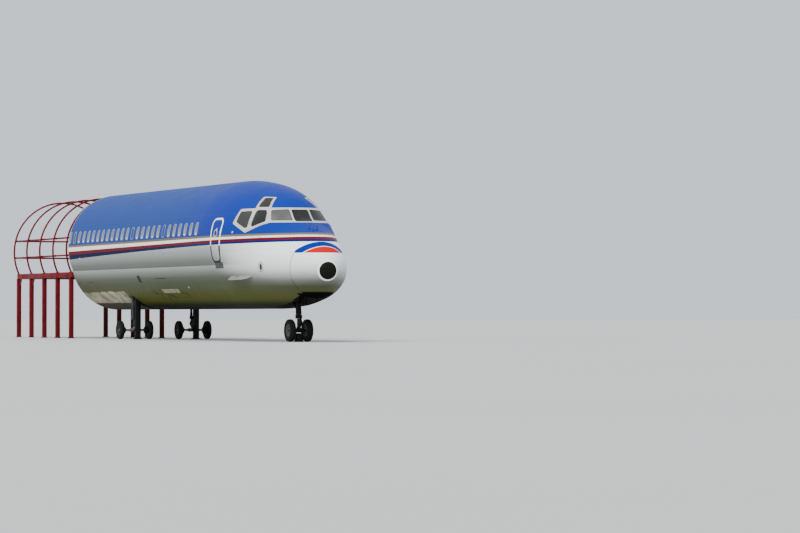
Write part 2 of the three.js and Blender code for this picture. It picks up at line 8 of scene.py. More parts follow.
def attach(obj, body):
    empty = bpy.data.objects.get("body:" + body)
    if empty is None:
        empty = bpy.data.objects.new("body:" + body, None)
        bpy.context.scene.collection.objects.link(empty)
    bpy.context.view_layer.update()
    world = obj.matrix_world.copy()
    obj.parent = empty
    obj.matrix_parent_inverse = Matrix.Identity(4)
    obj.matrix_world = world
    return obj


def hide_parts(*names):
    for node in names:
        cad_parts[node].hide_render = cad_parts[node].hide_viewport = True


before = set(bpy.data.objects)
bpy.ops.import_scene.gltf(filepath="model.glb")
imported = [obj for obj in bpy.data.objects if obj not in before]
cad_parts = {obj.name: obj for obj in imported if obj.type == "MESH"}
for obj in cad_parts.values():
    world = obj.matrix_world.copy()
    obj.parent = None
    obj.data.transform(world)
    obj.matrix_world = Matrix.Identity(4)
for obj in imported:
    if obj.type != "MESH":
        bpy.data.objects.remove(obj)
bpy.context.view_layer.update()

# Camera: it stands ahead and to starboard of the nose, low over the ground, and looks
# along the fuselage with a long lens.
CAMERA_PLACE = (94.812, -32.331, 0.720)
CAMERA_LOOK = (-0.92327, 0.38388, 0.014636)
CAMERA_LENS = 150.416
SENSOR_WIDTH = 36.0
CLIP_END = 900

camera_data = bpy.data.cameras.new("camera")
camera_data.lens = CAMERA_LENS
camera_data.sensor_width = SENSOR_WIDTH
camera_data.clip_end = CLIP_END
camera = bpy.data.objects.new("camera", camera_data)
bpy.context.scene.collection.objects.link(camera)
camera.location = CAMERA_PLACE
camera.rotation_euler = Vector(CAMERA_LOOK).to_track_quat("-Z", "Y").to_euler()
bpy.context.scene.camera = camera

# Light: a pale sky all round, and one wide soft sun high over the starboard bow.
SKY_COLOUR = (0.84, 0.90, 0.98)
SKY_STRENGTH = 1.04
SUN_FROM = (0.55, -0.62, 0.95)
SUN_SPREAD = 38
SUN_STRENGTH = 3.7

world = bpy.data.worlds.new("sky")
world.use_nodes = True
sky_node = world.node_tree.nodes["Background"]
sky_node.inputs["Color"].default_value = (*SKY_COLOUR, 1)
sky_node.inputs["Strength"].default_value = SKY_STRENGTH
bpy.context.scene.world = world
sun_data = bpy.data.lights.new("soft_sun", "SUN")
sun_data.energy = SUN_STRENGTH
sun_data.angle = math.radians(SUN_SPREAD)
sun = bpy.data.objects.new("soft_sun", sun_data)
bpy.context.scene.collection.objects.link(sun)
sun.rotation_euler = Vector(SUN_FROM).to_track_quat("Z", "Y").to_euler()

# Floor: a plain pale studio floor, wide enough to reach the horizon.
FLOOR_HALF = 420
FLOOR_COLOUR = (0.52, 0.52, 0.50)


class Level:
    """A number or colour that changes over a surface, as a shader socket with arithmetic."""

    def __init__(self, finish, socket):
        self.finish = finish
        self.socket = socket

    def math(self, operation, *others):
        values = dict(enumerate((self, *others)))
        return self.finish.step("ShaderNodeMath", {"operation": operation}, values)

    def __add__(self, other):
        return self.math("ADD", other)

    def __sub__(self, other):
        return self.math("SUBTRACT", other)

    def __rsub__(self, other):
        return self.math("MULTIPLY_ADD", -1.0, other)

    def __mul__(self, other):
        return self.math("MULTIPLY", other)

    def __truediv__(self, other):
        return self.math("DIVIDE", other)


class Finish:
    """A material under construction, with one method that adds any node."""

    def __init__(self, name):
        self.material = bpy.data.materials.new(name)
        self.material.use_nodes = True
        self.tree = self.material.node_tree
        self.shader = self.tree.nodes["Principled BSDF"]
        self.coordinates = None

    def step(self, kind, settings=None, values=None, output=0):
        """Adds a node with its settings and input values, and gives one of its outputs."""
        node = self.tree.nodes.new(kind)
        for setting, value in (settings or {}).items():
            if setting != "stops":
                setattr(node, setting, value)
                continue
            stops = node.color_ramp.elements
            while len(stops) < len(value):
                stops.new(1.0)
            for stop, (position, colour) in zip(stops, value):
                stop.position = position
                stop.color = (*colour, 1)
        for socket, value in (values or {}).items():
            if isinstance(value, Level):
                self.tree.links.new(value.socket, node.inputs[socket])
            else:
                node.inputs[socket].default_value = value
        return Level(self, node.outputs[output])

    def place(self):
        """The Object coordinates as one vector, and as x, y and z."""
        if self.coordinates is None:
            vector = self.step("ShaderNodeTexCoord", output="Object")
            axes = [self.step("ShaderNodeSeparateXYZ", None, {0: vector}, axis) for axis in "XYZ"]
            self.coordinates = (vector, *axes)
        return self.coordinates

    def ramp(self, value, low, high):
        """0 below low, 1 above high and a smooth rise between."""
        settings = {"interpolation_type": "SMOOTHSTEP", "clamp": True}
        return self.step("ShaderNodeMapRange", settings, {"Value": value, "From Min": low, "From Max": high})

    def mix(self, first, second, share):
        """The first colour where share is 0, and the second where it is 1."""
        colours = [c if isinstance(c, Level) else (*c, 1) for c in (first, second)]
        values = {"Factor": share, 6: colours[0], 7: colours[1]}
        return self.step("ShaderNodeMix", {"data_type": "RGBA"}, values, 2)

    def bands(self, value, low, high, stops):
        """A colour that runs through (value, colour) stops, which rise from low to high."""
        values = {"Value": value, "From Min": low, "From Max": high}
        share = self.step("ShaderNodeMapRange", {"clamp": True}, values)
        spread = [((position - low) / (high - low), colour) for position, colour in stops]
        return self.step("ShaderNodeValToRGB", {"stops": spread}, {"Fac": share})

    def clouds(self, scale, detail=3.0, roughness=0.55, stretch=None):
        """Soft noise of about that many blotches per metre, from 0 to 1."""
        vector = self.place()[0]
        if stretch:
            vector = self.step("ShaderNodeMapping", None, {"Vector": vector, "Scale": stretch})
        values = {"Vector": vector, "Scale": scale, "Detail": detail, "Roughness": roughness}
        return self.step("ShaderNodeTexNoise", {"noise_dimensions": "3D"}, values)

    def bumps(self, height, distance, strength=1.0):
        """Feeds the shader's Normal with a height that is given in metres over distance."""
        values = {"Height": height, "Distance": distance, "Strength": strength}
        normal = self.step("ShaderNodeBump", None, values)
        self.tree.links.new(normal.socket, self.shader.inputs["Normal"])

    def set(self, **sockets):
        """Sets shader sockets by name, with _ for a space: a Level is linked, a value is set."""
        for name, value in sockets.items():
            socket = self.shader.inputs[name.replace("_", " ")]
            if isinstance(value, Level):
                self.tree.links.new(value.socket, socket)
            else:
                socket.default_value = (*value, 1) if isinstance(value, tuple) else value
        return self.material


def studio_floor():
    """Plain pale paint with hardly any change over the floor."""
    finish = Finish("studio_floor")
    cloud = finish.clouds(0.15, 2.0)
    tint = finish.mix(FLOOR_COLOUR, tuple(c * 1.06 for c in FLOOR_COLOUR), cloud)
    return finish.set(Base_Color=tint, Roughness=0.85)


bpy.ops.object.select_all(action="DESELECT")
bpy.ops.mesh.primitive_plane_add(size=2 * FLOOR_HALF, location=(0, 0, 0))
floor = bpy.context.object
floor.name = "studio_floor"
floor.data.materials.append(studio_floor())

# Form of the fuselage: a round upper lobe that meets a lower lobe at a crease, lofted from
# the nose tip to the cut. All skin, panes and doors are parts of this one form.
TIP = 12.24
BELLY = 0.9
FORM_COLUMNS = ("station", "crown", "keel", "wide", "mid", "crease")
FORM = [
    (0.0, 1.012, 1.012, 0.0, 1.012, 1.012),
    (0.115, 1.359, 0.737, 0.293, 1.020, 1.020),
    (0.344, 1.581, 0.582, 0.506, 1.030, 1.030),
    (0.619, 1.780, 0.449, 0.678, 1.040, 1.040),
    (0.880, 1.920, 0.330, 0.815, 1.050, 1.050),
    (1.260, 2.110, 0.215, 0.955, 1.090, 1.065),
    (1.720, 2.295, 0.145, 1.085, 1.160, 1.090),
    (2.000, 2.433, 0.105, 1.155, 1.210, 1.100),
    (2.430, 2.815, 0.055, 1.230, 1.300, 1.120),
    (2.640, 2.970, 0.035, 1.265, 1.350, 1.135),
    (2.870, 3.085, 0.020, 1.300, 1.400, 1.150),
    (3.100, 3.180, 0.010, 1.340, 1.455, 1.160),
    (3.560, 3.315, 0.0, 1.440, 1.560, 1.180),
    (4.010, 3.415, 0.0, 1.535, 1.660, 1.205),
    (4.470, 3.490, 0.0, 1.598, 1.760, 1.230),
    (4.930, 3.545, 0.0, 1.632, 1.850, 1.250),
    (5.480, 3.595, 0.0, 1.660, 1.920, 1.265),
    (5.950, 3.611, 0.0, 1.671, 1.940, 1.270),
]
LOWER_SHARE = 0.43
UPPER_STEPS = 44
LOWER_STEPS = 28
NOSE_END = 5.95
RADOME_JOINT = 0.88
JOINT_GAP = 0.004
ROOTS = [math.sqrt(row[0]) for row in FORM]


def form(column, station):
    """One column of the table at any station, smooth in the square root of the station."""
    index = FORM_COLUMNS.index(column)
    values = [row[index] for row in FORM]
    root = math.sqrt(max(0.0, min(station, NOSE_END)))
    slopes = []
    for i in range(len(values) - 1):
        slopes.append((values[i + 1] - values[i]) / (ROOTS[i + 1] - ROOTS[i]))

    def tangent(i):
        if i == 0:
            return slopes[0]
        if i == len(slopes):
            return 0.0
        before = ROOTS[i] - ROOTS[i - 1]
        after = ROOTS[i + 1] - ROOTS[i]
        return (slopes[i - 1] * after + slopes[i] * before) / (before + after)

    i = 0
    while i < len(slopes) - 1 and ROOTS[i + 1] < root:
        i += 1
    span = ROOTS[i + 1] - ROOTS[i]
    a = (root - ROOTS[i]) / span
    blend = 3 * a**2 - 2 * a**3
    leaving = (a**3 - 2 * a**2 + a) * span * tangent(i)
    arriving = (a**3 - a**2) * span * tangent(i + 1)
    return (1 - blend) * values[i] + blend * values[i + 1] + leaving + arriving


def lobes(station, grow=0.0):
    """Sizes of both lobes at a station, grown outwards by grow."""
    mid = form("mid", station)
    rise = form("crown", station) + grow - mid
    wide = form("wide", station) + grow
    crease = form("crease", station)
    crease_angle = math.asin((crease - mid) / rise)
    lower = crease + LOWER_SHARE * (mid - crease)
    lower_rise = lower - form("keel", station) + grow
    lower_angle = math.asin((crease - lower) / lower_rise)
    lower_half = wide * math.cos(crease_angle) / math.cos(lower_angle)
    return mid, rise, wide, crease, crease_angle, lower, lower_rise, lower_angle, lower_half


def section(station, grow=0.0):
    """The outline at a station, as (y, height) pairs from the crown over the port side."""
    mid, rise, wide, _, crease_angle, lower, lower_rise, lower_angle, lower_half = lobes(station, grow)
    half = []
    for i in range(UPPER_STEPS + 1):
        angle = math.pi / 2 + (crease_angle - math.pi / 2) * i / UPPER_STEPS
        half.append((wide * math.cos(angle), mid + rise * math.sin(angle)))
    for i in range(1, LOWER_STEPS + 1):
        angle = lower_angle + (-math.pi / 2 - lower_angle) * i / LOWER_STEPS
        half.append((lower_half * math.cos(angle), lower + lower_rise * math.sin(angle)))
    half[0] = (0.0, half[0][1])
    half[-1] = (0.0, half[-1][1])
    return half + [(-y, height) for y, height in reversed(half[1:-1])]


def skin_half(station, height, grow=0.0):
    """Half the form's width at a station and height."""
    mid, rise, wide, crease, _, lower, lower_rise, _, lower_half = lobes(station, grow)
    if height >= crease:
        return wide * math.sqrt(max(0.0, 1 - ((height - mid) / rise) ** 2))
    return lower_half * math.sqrt(max(0.0, 1 - ((height - lower) / lower_rise) ** 2))


def steps_between(start, end, step):
    """Even stations from start to end, about a step apart."""
    count = max(1, round((end - start) / step))
    return [start + (end - start) * i / count for i in range(count + 1)]


def loft(name, stations, grow=0.0):
    """A closed solid of the form with a ring at each station."""
    mesh = bmesh.new()
    rings = []
    for station in stations:
        if station == 0:
            rings.append([mesh.verts.new((TIP + grow, 0, BELLY + form("mid", 0)))])
            continue
        ring = [(TIP - station, y, BELLY + height) for y, height in section(station, grow)]
        rings.append([mesh.verts.new(corner) for corner in ring])
    for front, rear in zip(rings, rings[1:]):
        for i in range(len(rear)):
            after = (i + 1) % len(rear)
            if len(front) == 1:
                mesh.faces.new((front[0], rear[i], rear[after]))
            else:
                mesh.faces.new((front[i], rear[i], rear[after], front[after]))
    if len(rings[0]) > 1:
        mesh.faces.new(rings[0])
    mesh.faces.new(list(reversed(rings[-1])))
    bmesh.ops.recalc_face_normals(mesh, faces=mesh.faces)
    return from_bmesh(name, mesh)


def from_bmesh(name, mesh):
    """A new object from a mesh under construction."""
    data = bpy.data.meshes.new(name)
    mesh.to_mesh(data)
    mesh.free()
    piece = bpy.data.objects.new(name, data)
    bpy.context.scene.collection.objects.link(piece)
    return piece


def activate(*pieces):
    """Selects some pieces alone and makes the first one active."""
    bpy.ops.object.select_all(action="DESELECT")
    for piece in pieces:
        piece.select_set(True)
    bpy.context.view_layer.objects.active = pieces[0]


def apply(piece, kind, **settings):
    """Adds a modifier and applies it."""
    modifier = piece.modifiers.new(kind.lower(), kind)
    for setting, value in settings.items():
        setattr(modifier, setting, value)
    activate(piece)
    bpy.ops.object.modifier_apply(modifier=modifier.name)
    return piece


def combine(piece, tool, operation, keep_tool=False):
    """Cuts, joins or intersects a closed piece with a closed tool, which is then removed."""
    apply(piece, "BOOLEAN", operation=operation, object=tool, solver="EXACT")
    if not keep_tool:
        bpy.data.objects.remove(tool)
    return piece


def copied(piece, name):
    """A copy of a piece with its own mesh."""
    twin = piece.copy()
    twin.data = piece.data.copy()
    twin.name = name
    bpy.context.scene.collection.objects.link(twin)
    return twin


def prism(name, corners):
    """A closed prism between two like outlines, given as a list of corner pairs."""
    mesh = bmesh.new()
    near = [mesh.verts.new(first) for first, _ in corners]
    far = [mesh.verts.new(second) for _, second in corners]
    for i in range(len(corners)):
        after = (i + 1) % len(corners)
        mesh.faces.new((near[i], near[after], far[after], far[i]))
    mesh.faces.new(list(reversed(near)))
    mesh.faces.new(far)
    bmesh.ops.recalc_face_normals(mesh, faces=mesh.faces)
    return from_bmesh(name, mesh)


def rounded(outline, radius, steps=5):
    """The outline with each corner replaced by a short arc."""
    result = []
    for i, corner in enumerate(outline):
        here = Vector(corner)
        back = Vector(outline[i - 1]) - here
        ahead = Vector(outline[(i + 1) % len(outline)]) - here
        reach = min(radius, back.length * 0.45, ahead.length * 0.45)
        start = here + back.normalized() * reach
        end = here + ahead.normalized() * reach
        for k in range(steps + 1):
            t = k / steps
            result.append(tuple(start * (1 - t) ** 2 + here * 2 * t * (1 - t) + end * t**2))
    return result


def side_prism(name, outline, side, near=0.35, far=1.75):
    """A prism along y of an outline in station and height, on one side."""
    return prism(name, [
        ((TIP - s, side * near, BELLY + h), (TIP - s, side * far, BELLY + h)) for s, h in outline
    ])


def front_prism(name, outline, start=1.65, end=2.95):
    """A prism along x of an outline in y and height."""
    return prism(name, [((TIP - start, y, BELLY + h), (TIP - end, y, BELLY + h)) for y, h in outline])


def grown(outline, distance):
    """The outline with each corner moved straight away from the middle."""
    middle = sum((Vector(corner) for corner in outline), Vector((0, 0))) / len(outline)
    moved = []
    for corner in outline:
        out = Vector(corner) - middle
        moved.append(tuple(middle + out * (out.length + distance) / out.length))
    return moved


def finish_piece(piece, material, body, slot, nodes=(), smooth=35):
    """Gives a piece its material, smooth shading, body and the nodes it stands for; slot is not used."""
    piece.data.materials.clear()
    piece.data.materials.append(material)
    activate(piece)
    bpy.ops.object.shade_smooth_by_angle(angle=math.radians(smooth))
    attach(piece, body)
    if nodes:
        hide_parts(*nodes)
    return piece


# Livery: faded blue gloss paint over the crown, a cheatline of gold, white, red and blue
# along the cabin floor line, and pale grey paint below, which carries painted light: brighter on
# the bow, painted shade towards the rear and the belly, a painted olive reflection of green ground
# low down, and a painted highlight and painted shade at the crease.
CHEATLINE = {
    "gold_top": (2.043, -0.0022, 0.0),
    "gold_bottom": (1.985, -0.0022, 0.0),
    "white_bottom": (1.939, -0.0067, 0.0),
    "red_bottom": (1.872, -0.0065, -0.00013),
    "blue_bottom": (1.802, -0.0033, -0.00052),
}
BLUE_CLEAN = (0.010, 0.034, 0.286)
BLUE_CHALK = (0.026, 0.066, 0.240)
BLUE_LINE = (0.003, 0.010, 0.110)
BLUE_LINE_DARK = (0.001, 0.004, 0.044)
RED_LINE = (0.150, 0.003, 0.010)
GOLD_LINE = (0.185, 0.150, 0.075)
WHITE_LINE = (0.985, 0.955, 0.905)
GREY_SKIN = (0.200, 0.205, 0.185)
DARK_SEAM = (0.020, 0.020, 0.018)
# Pale skin tones by height, with painted light in them: both darken towards the belly as painted shade and
# turn olive there as a painted reflection of green ground. The nose tones are the brighter, as painted light
# on the bow; the side tones have a painted highlight just under the crease and painted shade just above it.
NOSE_SKIN_AND_PAINTED_LIGHT = [
    (0.00, (0.010, 0.011, 0.002)), (0.14, (0.028, 0.030, 0.003)), (0.28, (0.086, 0.093, 0.018)),
    (0.45, (0.084, 0.094, 0.036)), (0.60, (0.078, 0.088, 0.046)), (0.75, (0.165, 0.178, 0.165)),
    (0.90, (0.400, 0.410, 0.390)), (1.05, (0.640, 0.650, 0.635)), (1.25, (0.840, 0.845, 0.830)),
    (1.50, (0.960, 0.962, 0.950)),
]
SIDE_SKIN_AND_PAINTED_LIGHT = [
    (0.00, (0.003, 0.004, 0.000)), (0.14, (0.010, 0.013, 0.000)), (0.26, (0.072, 0.083, 0.004)),
    (0.45, (0.078, 0.087, 0.013)), (0.60, (0.080, 0.091, 0.036)), (0.75, (0.078, 0.090, 0.054)),
    (0.90, (0.108, 0.118, 0.088)), (1.05, (0.214, 0.232, 0.200)), (1.19, (0.350, 0.380, 0.335)),
    (1.205, (0.350, 0.380, 0.335)), (1.215, (0.118, 0.126, 0.113)), (1.25, (0.145, 0.153, 0.140)),
    (1.35, (0.180, 0.190, 0.178)), (1.50, (0.285, 0.298, 0.284)), (1.75, (0.425, 0.445, 0.450)),
]
DOOR_BOX = {
    "service": {"front": 4.37, "rear": 4.92, "sill": 1.31, "top": 2.47, "side": -1},
    "passenger": {"front": 4.06, "rear": 4.92, "sill": 1.24, "top": 3.07, "side": 1},
}
DOOR_ROUND = 0.14
DOOR_LINE = 0.028
NOSE_DISC = {"y": -0.04, "height": 1.01, "radius": 0.235, "ring": 0.275}
ARCH = {"base": 1.49, "centre": 0.727, "outer": 1.063, "gap": 0.943, "inner": 0.928}
FRAME_PITCH = 0.4826
SPECK = (0.12, 0.12, 0.08)
SHADED_GREY = (0.140, 0.138, 0.100)
PATCH = {"at": (9.71, 0.53), "half": (0.75, 0.055), "colour": (0.36, 0.37, 0.24)}
SMUDGE = {"at": (9.9, 0.36), "half": (1.5, 0.15), "colour": (0.030, 0.030, 0.012)}
PEEL_LOW = 0.19
PEEL_HIGH = 0.55
PEEL_START = 13.9
PEEL_PRIMER = ((0.55, 0.51, 0.39), (0.27, 0.25, 0.18))
PEEL_CRACK = (0.045, 0.045, 0.025)
UNDER_PEEL = (0.066, 0.058, 0.040)
CREASES = ((1.0, 1.7, 0.85), (1.0, -2.3, 1.30), (1.0, 0.5, 1.90))
WORN_RED = (0.20, 0.03, 0.03)
BLUE_STREAK = (0.010, 0.045, 0.200)
BLUE_SPECK = (0.12, 0.20, 0.40)
INK_CHANGE = 1.75
SEAM_LOW = (0.035, 0.036, 0.030)
SEAM_HIGH = (0.22, 0.22, 0.21)
DISC_BLACK = (0.010, 0.010, 0.008)
ARCH_BLUE = (0.004, 0.024, 0.250)
ARCH_RED = (0.600, 0.006, 0.006)
UNDER_NOSE_BLACK = (0.002, 0.002, 0.0015)
LAP_HEIGHTS = (0.55, 1.62, 2.62, 3.22)
BUTT_STATIONS = (7.06, 9.47, 11.88, 14.30, 16.71)
LAP_TINT = (0.10, 0.10, 0.10)


def livery():
    """The paint of the whole fuselage, laid on from the lower skin up and then the details."""
    finish = Finish("livery")
    _, x, y, z = finish.place()
    station = TIP - x
    height = z - BELLY
    broad = finish.clouds(0.45, 4.0)
    blotch = finish.clouds(2.2, 5.0, 0.6)
    fine = finish.clouds(22.0, 4.0, 0.6)
    streak = finish.clouds(1.0, 4.0, 0.6, (7.0, 7.0, 0.45))

    def box(area, soft=0.006):
        """1 inside an area of the starboard side, by its middle and half sizes."""
        along = (station - area["at"][0]).math("ABSOLUTE")
        tall = (height - area["at"][1]).math("ABSOLUTE")
        inside = finish.ramp(area["half"][0] - along, -soft, soft)
        inside = inside * finish.ramp(area["half"][1] - tall, -soft, soft)
        return inside * finish.ramp(y, 0.0, -0.01)

    def line(value, place, outer, inner):
        """1 within inner of a place and 0 beyond outer."""
        return finish.ramp((value - place).math("ABSOLUTE"), outer, inner)

    def distance(across, tall):
        """The distance from a point of the nose, seen from ahead."""
        return (across.math("POWER", 2.0) + tall.math("POWER", 2.0)).math("SQRT")

    # Pale lower skin with painted light: brighter at the nose, greyer behind it as painted shade,
    # darker towards the belly as painted shade and olive there as a painted reflection of green ground.
    wavy = height + (blotch - 0.5) * 0.05 * finish.ramp(height, 1.20, 1.00)
    nose_skin = finish.bands(wavy, 0.0, 1.5, NOSE_SKIN_AND_PAINTED_LIGHT)
    side_skin = finish.bands(wavy, 0.0, 1.75, SIDE_SKIN_AND_PAINTED_LIGHT)
    aft = station + (broad - 0.5) * 0.8 + finish.ramp(height, 1.15, 0.75) * 1.0
    skin = finish.mix(nose_skin, side_skin, finish.ramp(aft, 2.0, 5.3))
    behind = finish.ramp(station, 9.0, 14.0) * finish.ramp(height, 1.00, 0.85)
    behind = behind * finish.ramp(height, 0.28, 0.45)
    skin = finish.mix(skin, SHADED_GREY, behind * 0.26)
    low = finish.ramp(height, 0.80, 0.20)
    runs = finish.ramp(streak, 0.56, 0.80) * finish.ramp(height, 0.5, 1.6)
    runs = runs * finish.ramp(station, 1.0, 5.0)
    skin = finish.mix(skin, GREY_SKIN, runs * 0.40)
    specks = finish.ramp(fine, 0.60, 0.78) * finish.ramp(height, 1.7, 0.9)
    specks = specks * finish.ramp(station, 0.5, 4.0)
    skin = finish.mix(skin, SPECK, specks * 0.30)

    # A light repair patch, a cracked and peeled strip, and scrapes near the belly.
    patch = box(PATCH) * finish.ramp(blotch, 0.30, 0.48)
    skin = finish.mix(skin, PATCH["colour"], patch * 0.85)
    rubbed = finish.ramp(finish.clouds(3.0, 5.0, 0.6, (1.0, 1.0, 3.0)), 0.48, 0.60)
    skin = finish.mix(skin, SMUDGE["colour"], box(SMUDGE, 0.10) * rubbed * 0.8)
    values = {"Vector": finish.place()[0], "Scale": 2.6, "Randomness": 1.0}
    edge_feature = {"feature": "DISTANCE_TO_EDGE"}
    crack = finish.step("ShaderNodeTexVoronoi", edge_feature, values, "Distance")
    peel_edge = height + (blotch - 0.5) * 0.14
    peel = finish.ramp(peel_edge, PEEL_LOW, PEEL_LOW + 0.03)
    peel = peel * finish.ramp(peel_edge, PEEL_HIGH, PEEL_HIGH - 0.03)
    peel = peel * finish.ramp(station + (broad - 0.5) * 1.2, PEEL_START, PEEL_START + 0.3)
    peel = peel * finish.ramp(y, 0.0, -0.05)
    flake = finish.ramp(crack, 0.030, 0.012) * finish.ramp(blotch, 0.45, 0.60) * 0.7
    for run, rise, pitch in CREASES:
        slant = station * (run / pitch) + height * (rise / pitch) + broad * 1.2 + blotch * 0.25
        fold = ((slant.math("FRACT") - 0.5).math("ABSOLUTE") - 0.5) * -pitch
        crease = finish.ramp(fold, 0.030, 0.012) * finish.ramp(blotch, 0.30, 0.50) * 0.65
        flake = flake.math("MAXIMUM", crease)
    bare = finish.mix(*PEEL_PRIMER, finish.ramp(blotch, 0.35, 0.65))
    bare = finish.mix(bare, PEEL_CRACK, flake)
    skin = finish.mix(skin, bare, peel * 0.95)
    under_peel = finish.ramp(peel_edge, 0.21, 0.18) * finish.ramp(station, 14.1, 14.3)
    skin = finish.mix(skin, UNDER_PEEL, under_peel * 0.75)

    # The cheatline, from its bottom edge up.
    wander = (blotch - 0.5) * 0.006
    edges = {}
    for name, (start, slope, bend) in CHEATLINE.items():
        level = (station * bend + slope) * station + start
        edges[name] = finish.ramp(height - level + wander, -0.004, 0.004)
    worn = finish.ramp(fine + blotch * 0.5, 0.78, 0.98) * 0.5
    navy = finish.mix(BLUE_LINE, BLUE_LINE_DARK, finish.ramp(station, 4.5, 10.0))
    colour = finish.mix(skin, navy, edges["blue_bottom"])
    colour = finish.mix(colour, finish.mix(RED_LINE, WORN_RED, worn), edges["red_bottom"])
    colour = finish.mix(colour, finish.mix(WHITE_LINE, GREY_SKIN, worn), edges["white_bottom"])
    colour = finish.mix(colour, GOLD_LINE, edges["gold_bottom"])

    # The blue crown, chalky towards the rear and along the top.
    rear = finish.ramp(station + (broad - 0.5) * 3.0, 4.5, 10.0)
    top = finish.ramp(height + (broad - 0.5) * 0.8, 2.7, 3.5) * finish.ramp(station, 4.0, 7.5)
    chalk = rear.math("MAXIMUM", top) * (blotch * 0.6 + 0.45)
    blue = finish.mix(BLUE_CLEAN, BLUE_CHALK, chalk)
    blue = finish.mix(blue, BLUE_STREAK, finish.ramp(streak, 0.55, 0.78) * 0.35)
    blue = finish.mix(blue, BLUE_SPECK, finish.ramp(fine, 0.64, 0.80) * 0.20)
    colour = finish.mix(colour, blue, edges["gold_top"])

    # Door outlines, white over the blue and dark below it.
    for door in DOOR_BOX.values():
        middle = (door["front"] + door["rear"]) / 2
        level = (door["sill"] + door["top"]) / 2
        across = (station - middle).math("ABSOLUTE") - ((door["rear"] - door["front"]) / 2 - DOOR_ROUND)
        up = (height - level).math("ABSOLUTE") - ((door["top"] - door["sill"]) / 2 - DOOR_ROUND)
        corner = across.math("MAXIMUM", 0.0).math("POWER", 2.0) + up.math("MAXIMUM", 0.0).math("POWER", 2.0)
        inner = across.math("MAXIMUM", up).math("MINIMUM", 0.0)
        away = corner.math("SQRT") + inner - DOOR_ROUND
        reach = finish.ramp(height, INK_CHANGE + 0.01, INK_CHANGE - 0.01) * 0.012 + DOOR_LINE
        outline = finish.ramp(reach - (away - DOOR_LINE * 0.6).math("ABSOLUTE"), -0.003, 0.003)
        outline = outline * finish.ramp(y * door["side"], 0.3, 0.4)
        ink_rise = finish.ramp(height, INK_CHANGE - 0.01, INK_CHANGE + 0.01)
        colour = finish.mix(colour, finish.mix(DARK_SEAM, WHITE_LINE, ink_rise), outline)

    # The black disc with its white ring, and the arch of nested bands, on the radome.
    seam = line(station, RADOME_JOINT, 0.014, 0.008) * finish.ramp(height, 1.60, 1.45)
    seam_tint = finish.mix(SEAM_LOW, SEAM_HIGH, finish.ramp(height, 0.70, 0.95))
    colour = finish.mix(colour, seam_tint, seam * 0.8)
    radial = distance(y - NOSE_DISC["y"], height - NOSE_DISC["height"])
    on_radome = finish.ramp(station, 0.60, 0.55)
    for key, tint in (("ring", WHITE_LINE), ("radius", DISC_BLACK)):
        inside = finish.ramp(radial, NOSE_DISC[key] + 0.003, NOSE_DISC[key])
        colour = finish.mix(colour, tint, inside * on_radome)
    arc = distance(y, height - ARCH["centre"])
    over = finish.ramp(height, ARCH["base"] - 0.003, ARCH["base"] + 0.003)
    over = over * finish.ramp(station, 0.90, 0.86)
    arch_bands = (
        ("outer", 0.003, 0.0, ARCH_BLUE),
        ("gap", 0.002, 0.001, WHITE_LINE),
        ("inner", 0.002, 0.001, ARCH_RED),
    )
    for key, out, back, tint in arch_bands:
        inside = finish.ramp(arc, ARCH[key] + out, ARCH[key] - back)
        colour = finish.mix(colour, tint, inside * over)

    # Near-black, matte, round the nose bay and ahead of it, under the radome.
    ahead_of_bay = finish.ramp(height, 0.425, 0.405) * finish.ramp(station, 1.12, 1.10)
    beside_bay = finish.ramp(y.math("ABSOLUTE"), 0.46, 0.43) * finish.ramp(station, 1.75, 1.55)
    beside_bay = beside_bay * finish.ramp(height, 0.47, 0.43)
    under_nose_black = ahead_of_bay.math("MAXIMUM", beside_bay)
    colour = finish.mix(colour, UNDER_NOSE_BLACK, under_nose_black)

    # Rivet rows on the frames, lap joints along the body and slow waves of the thin sheet.
    bay_share = ((station - 0.1) / FRAME_PITCH).math("FRACT")
    rivet_row = finish.ramp((bay_share - 0.5).math("ABSOLUTE"), 0.484, 0.492)
    beat = (height * 28.0).math("FRACT")
    rivet = rivet_row * finish.ramp((beat - 0.5).math("ABSOLUTE"), 0.20, 0.10)
    masks = [line(height, lap, 0.004, 0.001) for lap in LAP_HEIGHTS]
    masks += [line(station, butt, 0.004, 0.001) for butt in BUTT_STATIONS]
    laps = masks[0]
    for mask in masks[1:]:
        laps = laps.math("MAXIMUM", mask)
    waves = finish.clouds(1.6, 2.0, 0.5)
    relief = waves * 1.2 + rivet * 0.10 - laps * 0.35 - peel * finish.ramp(crack, 0.03, 0.0) * 0.4
    finish.bumps(relief, 0.005, 0.6)
    colour = finish.mix(colour, LAP_TINT, laps * 0.35)
    gloss = blotch * 0.16 + 0.30 + chalk * 0.12 + low * 0.12
    gloss = finish.step("ShaderNodeMix", {"data_type": "FLOAT"}, {0: under_nose_black, 2: gloss, 3: 0.95})
    return finish.set(Base_Color=colour, Roughness=gloss, Specular_IOR_Level=0.035)


LIVERY = livery()

# Skins: riveted metal sheet from the nose tip to the cut, built as the radome and three
# barrels behind the nose section. The centre barrel is notched below for the mid legs.
BODY = "airframe"
FORWARD_END = 12.0
CENTRE_END = 16.2
CUT_STATION = 18.26
UNDER_BELLY = -0.1
NOTCH = {"front": 13.62, "rear": 14.06, "half": 1.8, "roof": 0.42}
BAY = {"front": 1.03, "rear": 3.20, "half": 0.39, "roof": 0.85}


def about(middle, half):
    """The two limits that lie half on each side of a middle."""
    return (middle - half, middle + half)


def block(name, stations, across, heights):
    """A closed box from its limits in station, y and height, used as a cutting tool."""
    (s0, s1), (y0, y1), (h0, h1) = stations, across, heights
    outline = [(s0, y0), (s1, y0), (s1, y1), (s0, y1)]
    return prism(name, [((TIP - s, y, BELLY + h0), (TIP - s, y, BELLY + h1)) for s, y in outline])


